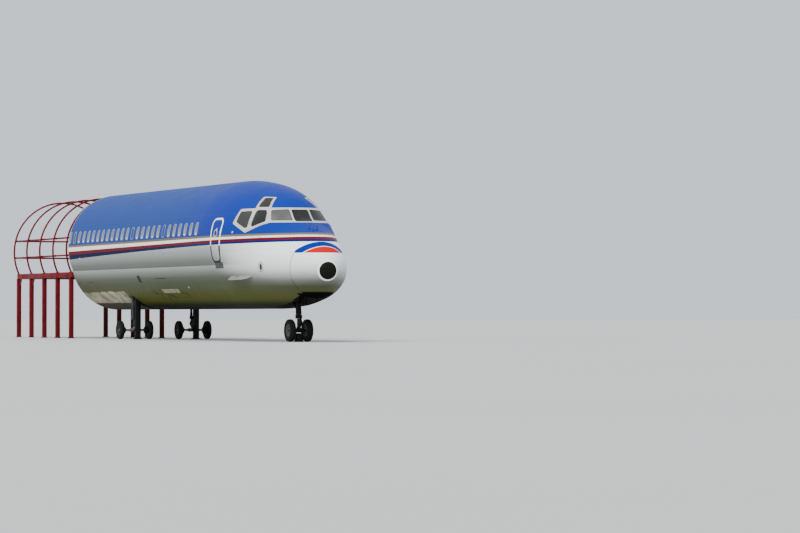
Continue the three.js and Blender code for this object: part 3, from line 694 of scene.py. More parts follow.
def opening(bay):
    """The box that cuts a gear opening out of the belly."""
    return block("opening", (bay["front"], bay["rear"]), about(0, bay["half"]), (UNDER_BELLY, bay["roof"]))


RADOME_RINGS = 34
radome_stations = [0.0]
for i in range(1, RADOME_RINGS + 1):
    radome_stations.append((i / RADOME_RINGS) ** 2 * (RADOME_JOINT - JOINT_GAP))
finish_piece(loft("radome_skin", radome_stations), LIVERY, BODY, "pale_paint", ["radome"])

BARRELS = {
    "forward": (NOSE_END, FORWARD_END),
    "centre": (FORWARD_END, CENTRE_END),
    "rear": (CENTRE_END, CUT_STATION),
}
for name, ends in BARRELS.items():
    barrel = loft(f"{name}_skin", ends)
    if name == "centre":
        combine(barrel, opening(NOTCH), "DIFFERENCE")
    finish_piece(barrel, LIVERY, BODY, "blue_paint", [f"{name}_fuselage"])

# Nose skin: the sheet from the radome joint to the first cabin frame, cut for the gear bay,
# the two doors and the cockpit panes.
PANES = {
    "rear_side_pane": [(3.71, 2.66), (3.28, 2.67), (3.21, 2.61), (3.13, 2.22), (3.25, 2.21), (3.70, 2.38)],
    "front_side_pane": [
        (3.08, 2.65), (3.04, 2.69), (2.75, 2.68), (2.64, 2.59), (2.50, 2.37), (2.91, 2.24), (3.00, 2.28),
    ],
    "eyebrow_pane": [(3.25, 3.03), (3.00, 3.02), (2.77, 2.775), (3.14, 2.785)],
}
SCREENS = {
    "centre_windshield": [(-0.245, 2.37), (0.245, 2.37), (0.232, 2.69), (-0.232, 2.69)],
    "side_windshield_port": [(0.305, 2.395), (0.800, 2.395), (0.700, 2.675), (0.290, 2.700)],
    "side_windshield_starboard": [(-0.305, 2.395), (-0.800, 2.395), (-0.700, 2.675), (-0.290, 2.700)],
}
PANE_ROUND = 0.045
PANE_SINK = 0.010
PANE_THICK = 0.012
SEAL = 0.009
SKIN_STEP = 0.05
NEAR_PANES = (1.5, 5.2)
DOOR_GAP = 0.009
SIDES = ((-1, "starboard"), (1, "port"))

nose_stations = steps_between(RADOME_JOINT, NOSE_END, SKIN_STEP)
nose = loft("nose_skin", nose_stations)
near_stations = [s for s in nose_stations if NEAR_PANES[0] < s < NEAR_PANES[1]]
pocket_floor = loft("pocket_floor", near_stations, -(PANE_SINK + PANE_THICK))
pane_top = loft("pane_top", near_stations, -PANE_SINK)
combine(nose, opening(BAY), "DIFFERENCE")


def pane_tools():
    """Every pane as its name, its outline and the prism maker that fits its side."""
    for name, outline in PANES.items():
        for side, side_name in SIDES:
            yield f"{name}_{side_name}", outline, lambda n, o, s=side: side_prism(n, o, s)
    for name, outline in SCREENS.items():
        yield name, outline, front_prism


pockets = None
for name, outline, make in pane_tools():
    tool = make("pocket_tool", rounded(grown(outline, SEAL), PANE_ROUND))
    pockets = tool if pockets is None else combine(pockets, tool, "UNION")
combine(pockets, pocket_floor, "DIFFERENCE", keep_tool=True)
combine(nose, pockets, "DIFFERENCE")
for door in DOOR_BOX.values():
    corners = [
        (door["front"], door["sill"]), (door["rear"], door["sill"]),
        (door["rear"], door["top"]), (door["front"], door["top"]),
    ]
    slot_outer = side_prism("door_slot", rounded(corners, DOOR_ROUND, 8), door["side"], 0.6, 1.9)
    leaf = rounded(grown(corners, -DOOR_GAP), DOOR_ROUND, 8)
    combine(slot_outer, side_prism("door_core", leaf, door["side"], 0.5, 2.0), "DIFFERENCE")
    combine(slot_outer, copied(pocket_floor, "slot_floor"), "DIFFERENCE")
    combine(nose, slot_outer, "DIFFERENCE")
finish_piece(nose, LIVERY, BODY, "blue_paint", ["nose_section", "service_door", "passenger_door"])

# Cockpit panes: thick laminated glass, clouded by age, held in seals just below the skin.
# Each look has its colour and how strongly it reflects; one look is the glass made darker as painted shade.
PANE_LOOKS = {
    "dark": ((0.005, 0.005, 0.005), 0.30),
    "painted_shade": ((0.014, 0.013, 0.012), 0.20),
    "brown": ((0.028, 0.025, 0.021), 0.35),
    "cloudy": ((0.088, 0.086, 0.081), 0.32),
}


def pane_finish(look, colour, shine):
    """Old glass with patches of dusty haze."""
    finish = Finish(f"{look}_pane")
    dust = finish.clouds(3.0, 3.0, 0.5)
    haze = finish.ramp(dust, 0.40, 0.80)
    tint = finish.mix(colour, tuple(c * 1.5 + 0.008 for c in colour), haze)
    return finish.set(Base_Color=tint, Roughness=haze * 0.20 + 0.12, Specular_IOR_Level=shine)


PANE_FINISHES = {look: pane_finish(look, *values) for look, values in PANE_LOOKS.items()}
# The panes that stand in shade take the darker look, as painted shade.
PANE_CHOICE = {
    "centre_windshield": "dark",
    "side_windshield_starboard": "cloudy",
    "side_windshield_port": "painted_shade",
    "eyebrow_pane_starboard": "painted_shade",
    "eyebrow_pane_port": "painted_shade",
    "front_side_pane_starboard": "painted_shade",
    "front_side_pane_port": "painted_shade",
}
for name, outline, make in pane_tools():
    pane = make(f"{name}_glass", rounded(outline, PANE_ROUND))
    combine(pane, pane_top, "INTERSECT", keep_tool=True)
    combine(pane, copied(pocket_floor, "pane_floor"), "DIFFERENCE")
    look = PANE_CHOICE.get(name, "brown")
    finish_piece(pane, PANE_FINISHES[look], BODY, "pane", [name])

# Cockpit surround: the pale painted metal frames of the cockpit panes, raised a little over
# the skin and cut out round each pane's seal.
SURROUND_RISE = 0.004
SIDE_SURROUND = [(3.84, 2.34), (3.15, 2.07), (2.49, 2.29), (2.33, 2.335), (2.57, 2.75), (3.78, 2.74)]
EYEBROW_SURROUND = [(3.34, 3.07), (2.97, 3.05), (2.66, 2.73), (3.20, 2.73)]
FRONT_SURROUND = [(-0.86, 2.335), (0.86, 2.335), (0.74, 2.750), (-0.74, 2.750)]
SURROUND_PAINT = (0.56, 0.55, 0.49)
SURROUND_STAIN = (0.27, 0.26, 0.21)


def surround_finish():
    """Pale paint with faint brown stains and a fine grain."""
    finish = Finish("cockpit_surround")
    blotch = finish.clouds(6.0, 4.0, 0.6)
    stain = finish.ramp(blotch, 0.5, 0.75)
    tint = finish.mix(SURROUND_PAINT, SURROUND_STAIN, stain * 0.6)
    finish.bumps(finish.clouds(60.0, 3.0), 0.0008, 0.5)
    return finish.set(Base_Color=tint, Roughness=0.42)


surround_top = loft("surround_top", near_stations, SURROUND_RISE)
surround = front_prism("cockpit_surround", rounded(FRONT_SURROUND, 0.03))
for side in (-1, 1):
    combine(surround, side_prism("surround_side", rounded(SIDE_SURROUND, 0.04), side), "UNION")
    combine(surround, side_prism("surround_eyebrow", rounded(EYEBROW_SURROUND, 0.04), side), "UNION")
combine(surround, surround_top, "INTERSECT")
combine(surround, pocket_floor, "DIFFERENCE")
for name, outline, make in pane_tools():
    combine(surround, make("frame_hole", rounded(grown(outline, SEAL), PANE_ROUND)), "DIFFERENCE")
finish_piece(surround, surround_finish(), BODY, "pale_paint")
bpy.data.objects.remove(pane_top)

# Cabin windows: 26 on each side behind plain metal covers, in round-cornered rings. Two
# are blanked and painted over with the crown, and one cover is gone from a dark pane.
WINDOW = {"count": 26, "last": 18.165, "height": 2.248}
WINDOW_HALF = (0.115, 0.181)
WINDOW_ROUND = 0.085
RING_WIDTH = 0.015
BLUE_WINDOWS = (14, 20)
OPEN_WINDOWS = (2,)
SLICE = 0.06
COVER_METAL = (0.255, 0.265, 0.290)
COVER_SHADE = (0.080, 0.100, 0.145)
COVER_DULL = (0.105, 0.110, 0.135)
COVER_DIRT = (0.12, 0.11, 0.10)
COVER_FOOT = (0.66, 0.66, 0.64)
RING_PAINT = (0.42, 0.49, 0.62)
RING_WORN = (0.22, 0.27, 0.36)


def edit(piece):
    """Opens a piece for editing with all of it selected."""
    activate(piece)
    bpy.ops.object.mode_set(mode="EDIT")
    bpy.ops.mesh.select_all(action="SELECT")


def pick(piece, mode, test):
    """Selects the faces, edges or corners of the open piece that pass a test."""
    bpy.ops.mesh.select_mode(type=mode)
    bpy.ops.mesh.select_all(action="DESELECT")
    mesh = bmesh.from_edit_mesh(piece.data)
    for part in {"FACE": mesh.faces, "EDGE": mesh.edges, "VERT": mesh.verts}[mode]:
        part.select_set(bool(test(part)))
    mesh.select_flush_mode()
    bmesh.update_edit_mesh(piece.data)


def eased(piece, width, segments, angle):
    """Rounds the edges of a piece that are sharper than an angle in degrees."""
    limit = math.radians(angle)
    return apply(piece, "BEVEL", width=width, segments=segments, limit_method="ANGLE", angle_limit=limit)


def joined(name, pieces):
    """Joins pieces into one with a new name."""
    activate(*pieces)
    if len(pieces) > 1:
        bpy.ops.object.join()
    pieces[0].name = name
    return pieces[0]


def primitive(name, add, scale=(1, 1, 1), **settings):
    """Adds a simple mesh by its operator, scales it and applies its transform."""
    bpy.ops.object.select_all(action="DESELECT")
    add(**settings)
    piece = bpy.context.object
    piece.name = name
    piece.scale = scale
    bpy.ops.object.transform_apply(location=True, rotation=True, scale=True)
    return piece


def rounded_plate(name, half_long, half_tall, corner, thick, rim=None, strips=6):
    """A plate in x and z that faces -y, with round corners, scored so that it can bend. With
    a rim width, the middle is cut out."""
    upright = {"size": 2, "rotation": (math.pi / 2, 0, 0)}
    piece = primitive(name, bpy.ops.mesh.primitive_plane_add, (half_long, half_tall, 1), **upright)
    edit(piece)
    bpy.ops.mesh.bevel(offset=corner, segments=5, affect="VERTICES")
    if rim:
        bpy.ops.mesh.select_all(action="SELECT")
        bpy.ops.mesh.inset(thickness=rim)
        bpy.ops.mesh.delete(type="FACE")
    for i in range(1, strips):
        bpy.ops.mesh.select_all(action="SELECT")
        score = half_tall * (2 * i / strips - 1)
        bpy.ops.mesh.bisect(plane_co=(0, 0, score), plane_no=(0, 0, 1))
    slices = round(half_long / SLICE)
    for i in range(1, slices):
        bpy.ops.mesh.select_all(action="SELECT")
        score = half_long * (2 * i / slices - 1)
        bpy.ops.mesh.bisect(plane_co=(score, 0, 0), plane_no=(1, 0, 0))
    bpy.ops.object.mode_set(mode="OBJECT")
    apply(piece, "SOLIDIFY", thickness=thick, offset=1.0)
    return eased(piece, min(0.0015, thick * 0.3), 1, 50)


def lay_on_skin(piece, side, station, height, depth):
    """Bends a flat plate round the fuselage: its x runs along, its z up and its -y outwards."""
    for corner in piece.data.vertices:
        x, y, z = corner.co
        here, up = station - x, height + z
        corner.co = (TIP - here, side * (skin_half(here, up) - y + depth), BELLY + up)
    if side > 0:
        piece.data.flip_normals()
    return piece


def cover_finish():
    """Thin metal, duller and bluer towards the top, with dirt and a pale foot."""
    finish = Finish("window_cover")
    _, _, _, z = finish.place()
    dirt = finish.clouds(14.0, 4.0, 0.6)
    upper = finish.ramp(z - BELLY + (dirt - 0.5) * 0.16, 2.12, 2.42)
    tint = finish.mix(COVER_METAL, COVER_SHADE, upper * 0.8)
    tint = finish.mix(tint, COVER_DULL, finish.ramp(finish.clouds(0.9, 2.0), 0.50, 0.64) * 0.45)
    tint = finish.mix(tint, COVER_DIRT, finish.ramp(dirt, 0.56, 0.74) * 0.5)
    tint = finish.mix(COVER_FOOT, tint, finish.ramp(z - BELLY, 2.09, 2.15))
    finish.bumps(dirt, 0.001, 0.4)
    return finish.set(Base_Color=tint, Roughness=dirt * 0.2 + 0.35, Metallic=0.1)


def ring_finish():
    """Dull blue-grey metal with a fine grain."""
    finish = Finish("window_ring")
    grain = finish.clouds(30.0, 3.0)
    tint = finish.mix(RING_PAINT, RING_WORN, finish.ramp(grain, 0.45, 0.7))
    return finish.set(Base_Color=tint, Roughness=grain * 0.2 + 0.30, Metallic=0.1)


cover_half = tuple(size - RING_WIDTH + 0.001 for size in WINDOW_HALF)
ring_master = rounded_plate("ring_master", *WINDOW_HALF, WINDOW_ROUND, 0.005, RING_WIDTH)
cover_master = rounded_plate("cover_master", *cover_half, WINDOW_ROUND - RING_WIDTH, 0.004)
RING = ring_finish()
WINDOW_KINDS = {
    "cover": (cover_finish(), "gear_steel"),
    "blank": (LIVERY, "blue_paint"),
    "bare": (PANE_FINISHES["dark"], "pane"),
}
for side, side_name in SIDES:
    rings = []
    plates = {kind: [] for kind in WINDOW_KINDS}
    for number in range(1, WINDOW["count"] + 1):
        station = WINDOW["last"] - (number - 1) * FRAME_PITCH
        kind = "blank" if number in BLUE_WINDOWS else "bare" if number in OPEN_WINDOWS else "cover"
        at = (side, station, WINDOW["height"])
        rings.append(lay_on_skin(copied(ring_master, "ring"), *at, -0.001))
        plates[kind].append(lay_on_skin(copied(cover_master, "plate"), *at, -0.0015))
    finish_piece(joined(f"window_rings_{side_name}", rings), RING, BODY, "gear_steel")
    for kind, (material, slot) in WINDOW_KINDS.items():
        finish_piece(joined(f"window_{kind}s_{side_name}", plates[kind]), material, BODY, slot)
bpy.data.objects.remove(ring_master)
bpy.data.objects.remove(cover_master)

# Door fittings: on each door a small painted-over port in a white ring, a handle in a dark
# dish and two hinge covers, and under each door a dark scuffed sill plate with a bar over it.
DOOR_PORT = {"height": 2.09, "radius": 0.105, "rim": 0.017, "lap": 0.016}
HANDLE = {"height": 2.185, "off": -0.055, "half_tall": 0.055}
HINGE = {"off": 0.02, "inset": 0.35, "plate": (0.035, 0.07, 0.02, 0.009, None, 4)}
SILL_PLATE = {"off": -0.10, "drop": 0.103, "plate": (0.305, 0.087, 0.02, 0.006, None, 6)}
SILL_BAR = {"off": -0.02, "drop": 0.010, "plate": (0.235, 0.021, 0.012, 0.014, None, 4)}


def plain_metal(name, colour, roughness, metallic, scale=12.0):
    """Bare or thinly painted metal with soft stains and fine scratches."""
    finish = Finish(name)
    stain = finish.clouds(scale, 4.0, 0.6)
    scratch = finish.clouds(scale * 6, 3.0, 0.7)
    tint = finish.mix(colour, tuple(c * 0.5 for c in colour), finish.ramp(stain, 0.45, 0.75))
    bright = tuple(min(1.0, c * 1.5 + 0.03) for c in colour)
    tint = finish.mix(tint, bright, finish.ramp(scratch, 0.66, 0.74) * 0.5)
    finish.bumps(scratch * 0.5 + stain, 0.001, 0.4)
    return finish.set(Base_Color=tint, Roughness=stain * 0.25 + roughness, Metallic=metallic)


def skin_plate(name, side, at, plate, material, slot, depth=-0.001):
    """A finished plate on the skin at a (station, height), from rounded_plate's numbers."""
    piece = lay_on_skin(rounded_plate(name, *plate), side, *at, depth)
    return finish_piece(piece, material, BODY, slot)


SCUFFED = plain_metal("scuffed_plate", (0.050, 0.050, 0.046), 0.55, 0.0)
DARK_HOLE = plain_metal("dark_opening", (0.008, 0.008, 0.008), 0.7, 0.0)
WHITE_TRIM = plain_metal("white_trim", (0.74, 0.74, 0.71), 0.38, 0.0, 5.0)
for name, door in DOOR_BOX.items():
    side = door["side"]
    middle = (door["front"] + door["rear"]) / 2
    port_at = (middle, DOOR_PORT["height"])
    outer = DOOR_PORT["radius"]
    inner = outer - DOOR_PORT["lap"]
    ring = (outer, outer, outer * 0.98, 0.007, DOOR_PORT["rim"], 4)
    skin_plate(f"{name}_port_ring", side, port_at, ring, WHITE_TRIM, "gear_steel")
    blank = (inner, inner, inner * 0.98, 0.004, None, 4)
    skin_plate(f"{name}_port_blank", side, port_at, blank, LIVERY, "blue_paint", -0.002)
    handle_at = (middle + HANDLE["off"], HANDLE["height"])
    dish = (0.030, HANDLE["half_tall"], 0.028, 0.003, None, 4)
    skin_plate(f"{name}_handle_dish", side, handle_at, dish, SCUFFED, "dark_steel")
    grip = (0.013, HANDLE["half_tall"] * 0.9, 0.011, 0.012, None, 4)
    skin_plate(f"{name}_handle_grip", side, handle_at, grip, WHITE_TRIM, "gear_steel", 0.0)
    hinges = []
    for level in (door["sill"] + HINGE["inset"], door["top"] - HINGE["inset"]):
        hinge = rounded_plate("hinge", *HINGE["plate"])
        hinges.append(lay_on_skin(hinge, side, door["front"] + HINGE["off"], level, -0.001))
    finish_piece(joined(f"{name}_hinge_covers", hinges), LIVERY, BODY, "pale_paint")
    for part, row, material in (("sill_plate", SILL_PLATE, SCUFFED), ("sill_bar", SILL_BAR, DARK_HOLE)):
        sill_at = (middle + row["off"], door["sill"] - row["drop"])
        skin_plate(f"{name}_{part}", side, sill_at, row["plate"], material, "dark_steel")

# Skin fittings: on each side an oval port in a dark ring, a small plug, a vent, a drip rail,
# a lamp, a drain mast, a service flap and a panel seam, all flat on the skin.
# Each row has its name, its station and height, rounded_plate's numbers and its look.
FITTINGS = [
    ("oval_port_ring", (2.14, 1.13), (0.120, 0.135, 0.115, 0.005, 0.014), "frame"),
    ("oval_port", (2.14, 1.13), (0.062, 0.088, 0.060, 0.003), "dark"),
    ("small_plug", (3.74, 2.10), (0.028, 0.028, 0.02565, 0.006, None, 4), "white"),
    ("vent", (11.95, 0.895), (0.12, 0.10, 0.038, 0.006, None, 4), "dark"),
    ("drip_rail", (9.96, 0.895), (0.465, 0.008, 0.00665, 0.006, None, 4), "dark"),
    ("side_lamp", (17.20, 1.573), (0.06, 0.035, 0.0285, 0.006, None, 4), "metal"),
    ("drain_mast", (7.90, 0.62), (0.05, 0.02, 0.0171, 0.006, None, 4), "metal"),
    ("service_flap", (12.75, 0.62), (0.16, 0.11, 0.019, 0.006, None, 4), "pale"),
    ("panel_seam", (16.85, 0.68), (0.375, 0.16, 0.04, 0.002, 0.010), "dark"),
]
FITTING_LOOKS = {
    "frame": (SCUFFED, "gear_steel"),
    "pale": (LIVERY, "pale_paint"),
    "white": (WHITE_TRIM, "pale_paint"),
    "dark": (DARK_HOLE, "dark_steel"),
    "metal": (RING, "gear_steel"),
}
for side, side_name in SIDES:
    for name, at, plate, look in FITTINGS:
        skin_plate(f"{name}_{side_name}", side, at, plate, *FITTING_LOOKS[look])

# Air data probes: three slender tapered masts with long heads on pale bases, ahead of the
# windshields.
PROBES = [(1.39, -0.07), (1.26, -0.01), (1.33, 0.13)]
PROBE_SINK = 0.012
PROBE_BASE = [(0, 0), (0.036, 0), (0.030, 0.020), (0.014, 0.030), (0, 0.030)]
PROBE_MAST = [(0, 0), (0.012, 0), (0.010, 0.085), (0.006, 0.095), (0, 0.096)]
PROBE_HEAD = [(0, -0.02), (0.008, -0.02), (0.007, 0.07), (0.003, 0.09), (0, 0.09)]


def turned(name, profile, centre, axis, steps):
    """A shape spun about an axis from a line of (radius, distance along) pairs."""
    centre, axis = Vector(centre), Vector(axis).normalized()
    out = axis.orthogonal().normalized()
    mesh = bmesh.new()
    line = [mesh.verts.new(centre + out * radius + axis * along) for radius, along in profile]
    for first, second in zip(line, line[1:]):
        mesh.edges.new((first, second))
    piece = from_bmesh(name, mesh)
    edit(piece)
    bpy.ops.mesh.spin(steps=steps, angle=2 * math.pi, center=centre, axis=axis)
    bpy.ops.mesh.select_all(action="SELECT")
    bpy.ops.mesh.remove_doubles(threshold=0.00002)
    bpy.ops.mesh.normals_make_consistent(inside=False)
    bpy.ops.object.mode_set(mode="OBJECT")
    return piece


probes = []
bases = []
for station, y in PROBES:
    crown = BELLY + form("crown", station) - PROBE_SINK
    foot = (TIP - station, y, crown)
    bases.append(turned("base", PROBE_BASE, foot, (0, 0, 1), 20))
    probes.append(turned("mast", PROBE_MAST, foot, (0.25, 0, 1), 14))
    head = (foot[0] + 0.018, y, crown + 0.088)
    probes.append(turned("head", PROBE_HEAD, head, (1, 0, 0.1), 12))
finish_piece(joined("probe_bases", bases), LIVERY, BODY, "pale_paint")
finish_piece(joined("probe_masts", probes), SCUFFED, BODY, "dark_steel")

# Strakes: a pale grey metal fin on each side of the lower nose, drooping outwards, with
# rounded edges and its root let into the skin.
STRAKE = {"height": 0.898, "half": 0.011, "droop": 0.72, "inside": 0.030}
STRAKE_TABLE = [
    {"station": 2.68, "skin": 1.211, "width": 0.010},
    {"station": 2.90, "skin": 1.236, "width": 0.110},
    {"station": 3.15, "skin": 1.272, "width": 0.145},
    {"station": 3.80, "skin": 1.374, "width": 0.160},
    {"station": 3.89, "skin": 1.386, "width": 0.135},
]
STRAKE_PAINT = plain_metal("strake_paint", (0.235, 0.240, 0.215), 0.42, 0.0, 3.0)
for side, side_name in SIDES:
    outline = [(row, -STRAKE["inside"]) for row in STRAKE_TABLE]
    outline += [(row, row["width"]) for row in reversed(STRAKE_TABLE)]
    pairs = []
    for row, out in outline:
        y = side * (row["skin"] + out * math.cos(STRAKE["droop"]))
        z = BELLY + STRAKE["height"] - out * math.sin(STRAKE["droop"])
        pairs.append(tuple((TIP - row["station"], y, z + way * STRAKE["half"]) for way in (-1, 1)))
    fin = eased(prism(f"strake_fin_{side_name}", pairs), 0.006, 3, 40)
    finish_piece(fin, STRAKE_PAINT, BODY, "pale_paint", [f"strake_{side_name}"])

# Cut end: a flat grey sheet closes the fuselage behind the last window, with a rim angle,
# stiffeners up and across it, and a plain door leaf with three hinges and a handle.
WALL = {"sheet": 18.282, "back": 18.300, "rim": 0.055}
WALL_MIDDLE = 1.94
UPRIGHTS = (-1.24, -0.83, 0.83, 1.24)
CROSS_STRIPS = (1.18, 3.16)
CROSS_REACH = (-1.2, 1.2)
LEAF = {"half": 0.44, "heights": (1.24, 3.08)}
LEAF_HINGES = {"across": (-0.485, -0.43), "heights": (1.5, 2.1, 2.7)}
LEAF_HANDLE = {"across": (0.33, 0.37), "heights": (2.0, 2.16)}


def solid_box(name, along, across, heights, ease, segments=2):
    """A box from its limits in x, y and z, with its edges eased."""
    low, high = (Vector(corner) for corner in zip(along, across, heights))
    add = bpy.ops.mesh.primitive_cube_add
    piece = primitive(name, add, high - low, size=1, location=(low + high) / 2)
    edit(piece)
    bpy.ops.mesh.bevel(offset=ease, segments=segments, affect="EDGES")
    bpy.ops.object.mode_set(mode="OBJECT")
    return piece


def wall_block(across, heights, depth=0.018, ease=0.003):
    """A strip or leaf on the wall, from its limits in y and height, with eased edges."""
    sheet = TIP - WALL["sheet"]
    low, high = heights
    return solid_box("wall_part", (sheet - depth, sheet + 0.002), across, (BELLY + low, BELLY + high), ease)


wall = loft("cut_wall", [CUT_STATION + 0.0006, WALL["sheet"]])
rim = loft("wall_rim", [WALL["sheet"] - 0.001, WALL["back"]])
core_ends = [WALL["sheet"] - 0.1, WALL["back"] + 0.1]
combine(rim, loft("rim_core", core_ends, -WALL["rim"]), "DIFFERENCE")
wall_parts = [wall, rim]
for y in UPRIGHTS:
    reach = form("wide", CUT_STATION) * 0.985
    tall = math.sqrt(max(0.0, reach**2 - y**2))
    wall_parts.append(wall_block(about(y, 0.025), (WALL_MIDDLE - tall * 0.86, WALL_MIDDLE + tall * 0.93)))
for height in CROSS_STRIPS:
    wall_parts.append(wall_block(CROSS_REACH, about(height, 0.03)))
wall_parts.append(wall_block(about(0, LEAF["half"]), LEAF["heights"], 0.020, 0.004))
for height in LEAF_HINGES["heights"]:
    wall_parts.append(wall_block(LEAF_HINGES["across"], about(height, 0.06), 0.022))
wall_parts.append(wall_block(LEAF_HANDLE["across"], LEAF_HANDLE["heights"], 0.026, 0.006))
wall_finish = plain_metal("wall_sheet", (0.40, 0.41, 0.41), 0.42, 0.4, 2.5)
finish_piece(joined("cut_wall", wall_parts), wall_finish, BODY, "bulkhead_sheet", ["cut_bulkhead"])

# Gear bays: near-black sheet lines the nose bay and the belly notch, and the nose bay has
# ribs across the roof and down the walls.
LINER = 0.004
LINER_SINK = 0.003
RIB_DEEP = 0.03
NOSE_RIBS = (1.5, 1.95, 2.78, 3.0)
LINER_BLACK = (0.010, 0.010, 0.009)
LINER_DUST = (0.035, 0.033, 0.027)


def liner_finish():
    """Near-black sheet with soft patches of dust."""
    finish = Finish("bay_liner")
    liner_patches = finish.clouds(4.0, 4.0, 0.6)
    tint = finish.mix(LINER_BLACK, LINER_DUST, finish.ramp(liner_patches, 0.4, 0.8))
    finish.bumps(liner_patches, 0.003, 0.5)
    return finish.set(Base_Color=tint, Roughness=0.8)


def bay_liner(name, bay, ribs, form_tool):
    """The sheet lining of an opening and its ribs, trimmed to the form of the belly."""
    front, rear, half, roof = bay["front"], bay["rear"], bay["half"], bay["roof"]
    gap = LINER / 2
    inset = gap + LINER
    below = UNDER_BELLY - 0.1
    shell = block("liner", (front + gap, rear - gap), about(0, half - gap), (UNDER_BELLY, roof - gap))
    core = block("liner_core", (front + inset, rear - inset), about(0, half - inset), (below, roof - inset))
    combine(shell, core, "DIFFERENCE")
    parts = [shell]
    for rib in ribs:
        arch = block("rib", about(rib, 0.02), about(0, half - LINER), (UNDER_BELLY, roof - LINER))
        hollow = block("rib_core", about(rib, 0.1), about(0, half - RIB_DEEP), (below, roof - RIB_DEEP))
        combine(arch, hollow, "DIFFERENCE")
        parts.append(arch)
    for part in parts:
        combine(part, form_tool, "INTERSECT", keep_tool=True)
    bpy.data.objects.remove(form_tool)
    finish_piece(joined(name, parts), LINER_FINISH, BODY, "dark_steel")


LINER_FINISH = liner_finish()
bay_liner("nose_bay_liner", BAY, NOSE_RIBS, loft("nose_form", steps_between(0.95, 3.30, 0.05), -LINER_SINK))
notch_ends = [NOTCH["front"] - 0.1, NOTCH["rear"] + 0.1]
bay_liner("belly_notch_liner", NOTCH, (), loft("notch_form", notch_ends, -LINER_SINK))

# Nose leg: a near-black steel cylinder on a cross tube in the bay, with two lugs behind it
# for the drag brace, banded pipes up its front, and a bolted gland at its foot.
LEG_X = TIP - 2.36
LEG_TOP = BELLY + 0.72
LEG_FOOT = BELLY - 0.16
TRUNNION_Z = BELLY + 0.62
UP = (0, 0, 1)
ACROSS = (0, 1, 0)
LUG_PIN = (LEG_X - 0.095, 0, BELLY - 0.06)
PIPES = (-0.026, 0.0, 0.026)
PIPE_BANDS = (0.10, 0.34, 0.52)
LEG_PROFILE = [
    (0, 0), (0.060, 0), (0.066, 0.006), (0.066, 0.030), (0.060, 0.036), (0.060, 0.060), (0.075, 0.075),
    (0.075, 0.24), (0.079, 0.245), (0.079, 0.285), (0.075, 0.290), (0.072, 0.30), (0.072, 0.54),
    (0.078, 0.545), (0.078, 0.58), (0.072, 0.585), (0.072, 0.73), (0.078, 0.735), (0.078, 0.86),
    (0.070, 0.88), (0, 0.88),
]
CROSS_PROFILE = [
    (0, 0.389), (0.064, 0.389), (0.064, 0.350), (0.050, 0.335), (0.050, 0.13), (0.056, 0.10),
]


def rod(name, start, end, radius, sides=20, ease=0.004):
    """A round bar between two points with eased rims."""
    start, end = Vector(start), Vector(end)
    span = end - start

    def on_rim(edge):
        at_end = all(abs(v.co.z) > span.length / 2 - 0.0001 for v in edge.verts)
        return at_end and all(v.co.xy.length > radius * 0.999 for v in edge.verts)

    add = bpy.ops.mesh.primitive_cylinder_add
    piece = primitive(name, add, vertices=sides, radius=radius, depth=span.length)
    edit(piece)
    pick(piece, "FACE", lambda face: abs(face.normal.z) > 0.9)
    bpy.ops.mesh.inset(thickness=ease)
    pick(piece, "EDGE", on_rim)
    bpy.ops.mesh.bevel(offset=ease * 0.8, segments=2, affect="EDGES")
    bpy.ops.object.mode_set(mode="OBJECT")
    turn = span.to_track_quat("Z", "Y").to_matrix().to_4x4()
    piece.data.transform(Matrix.Translation((start + end) / 2) @ turn)
    return piece


def cross_rod(name, middle, half, radius, *details):
    """A round bar along y, half of its length on each side of a middle."""
    x, y, z = middle
    return rod(name, (x, y - half, z), (x, y + half, z), radius, *details)


def bolts(name, places, axis, radius=0.010, tall=0.008):
    """Hexagon heads at the places, modelled once and copied, with their backs sunk in."""
    head = rod(f"{name}_head", (0, 0, -tall), (0, 0, tall), radius, 6, radius * 0.15)
    turn = Vector(axis).to_track_quat("Z", "Y").to_matrix().to_4x4()
    copies = []
    for spot in places:
        twin = copied(head, name)
        twin.data.transform(Matrix.Translation(spot) @ turn)
        copies.append(twin)
    bpy.data.objects.remove(head)
    return joined(name, copies)


def ring_of(centre, axis, radius, count, start=0.0):
    """Places evenly round an axis."""
    axis = Vector(axis).normalized()
    out = axis.orthogonal().normalized()
    other = axis.cross(out)
    angles = [start + 2 * math.pi * i / count for i in range(count)]
    return [Vector(centre) + out * radius * math.cos(a) + other * radius * math.sin(a) for a in angles]


def mirrored(half):
    """A line of (radius, along) pairs from one end to the other, from its outer half."""
    return [(radius, -along) for radius, along in half] + list(reversed(half))


def worn_paint(name, colour, chip, grime, roughness, shine, scale=7.0, share=0.6):
    """Old gloss paint with grease and dust in soft patches and small chips."""
    finish = Finish(name)
    patch = finish.clouds(scale, 4.0, 0.6)
    fine = finish.clouds(scale * 8, 3.0, 0.65)
    dirt = finish.ramp(patch, 0.42, 0.72)
    tint = finish.mix(colour, grime, dirt * share)
    tint = finish.mix(tint, chip, finish.ramp(fine, 0.67, 0.72) * 0.7)
    finish.bumps(fine * 0.4 + patch, 0.0015, 0.5)
    return finish.set(Base_Color=tint, Roughness=dirt * 0.3 + roughness, Specular_IOR_Level=shine)


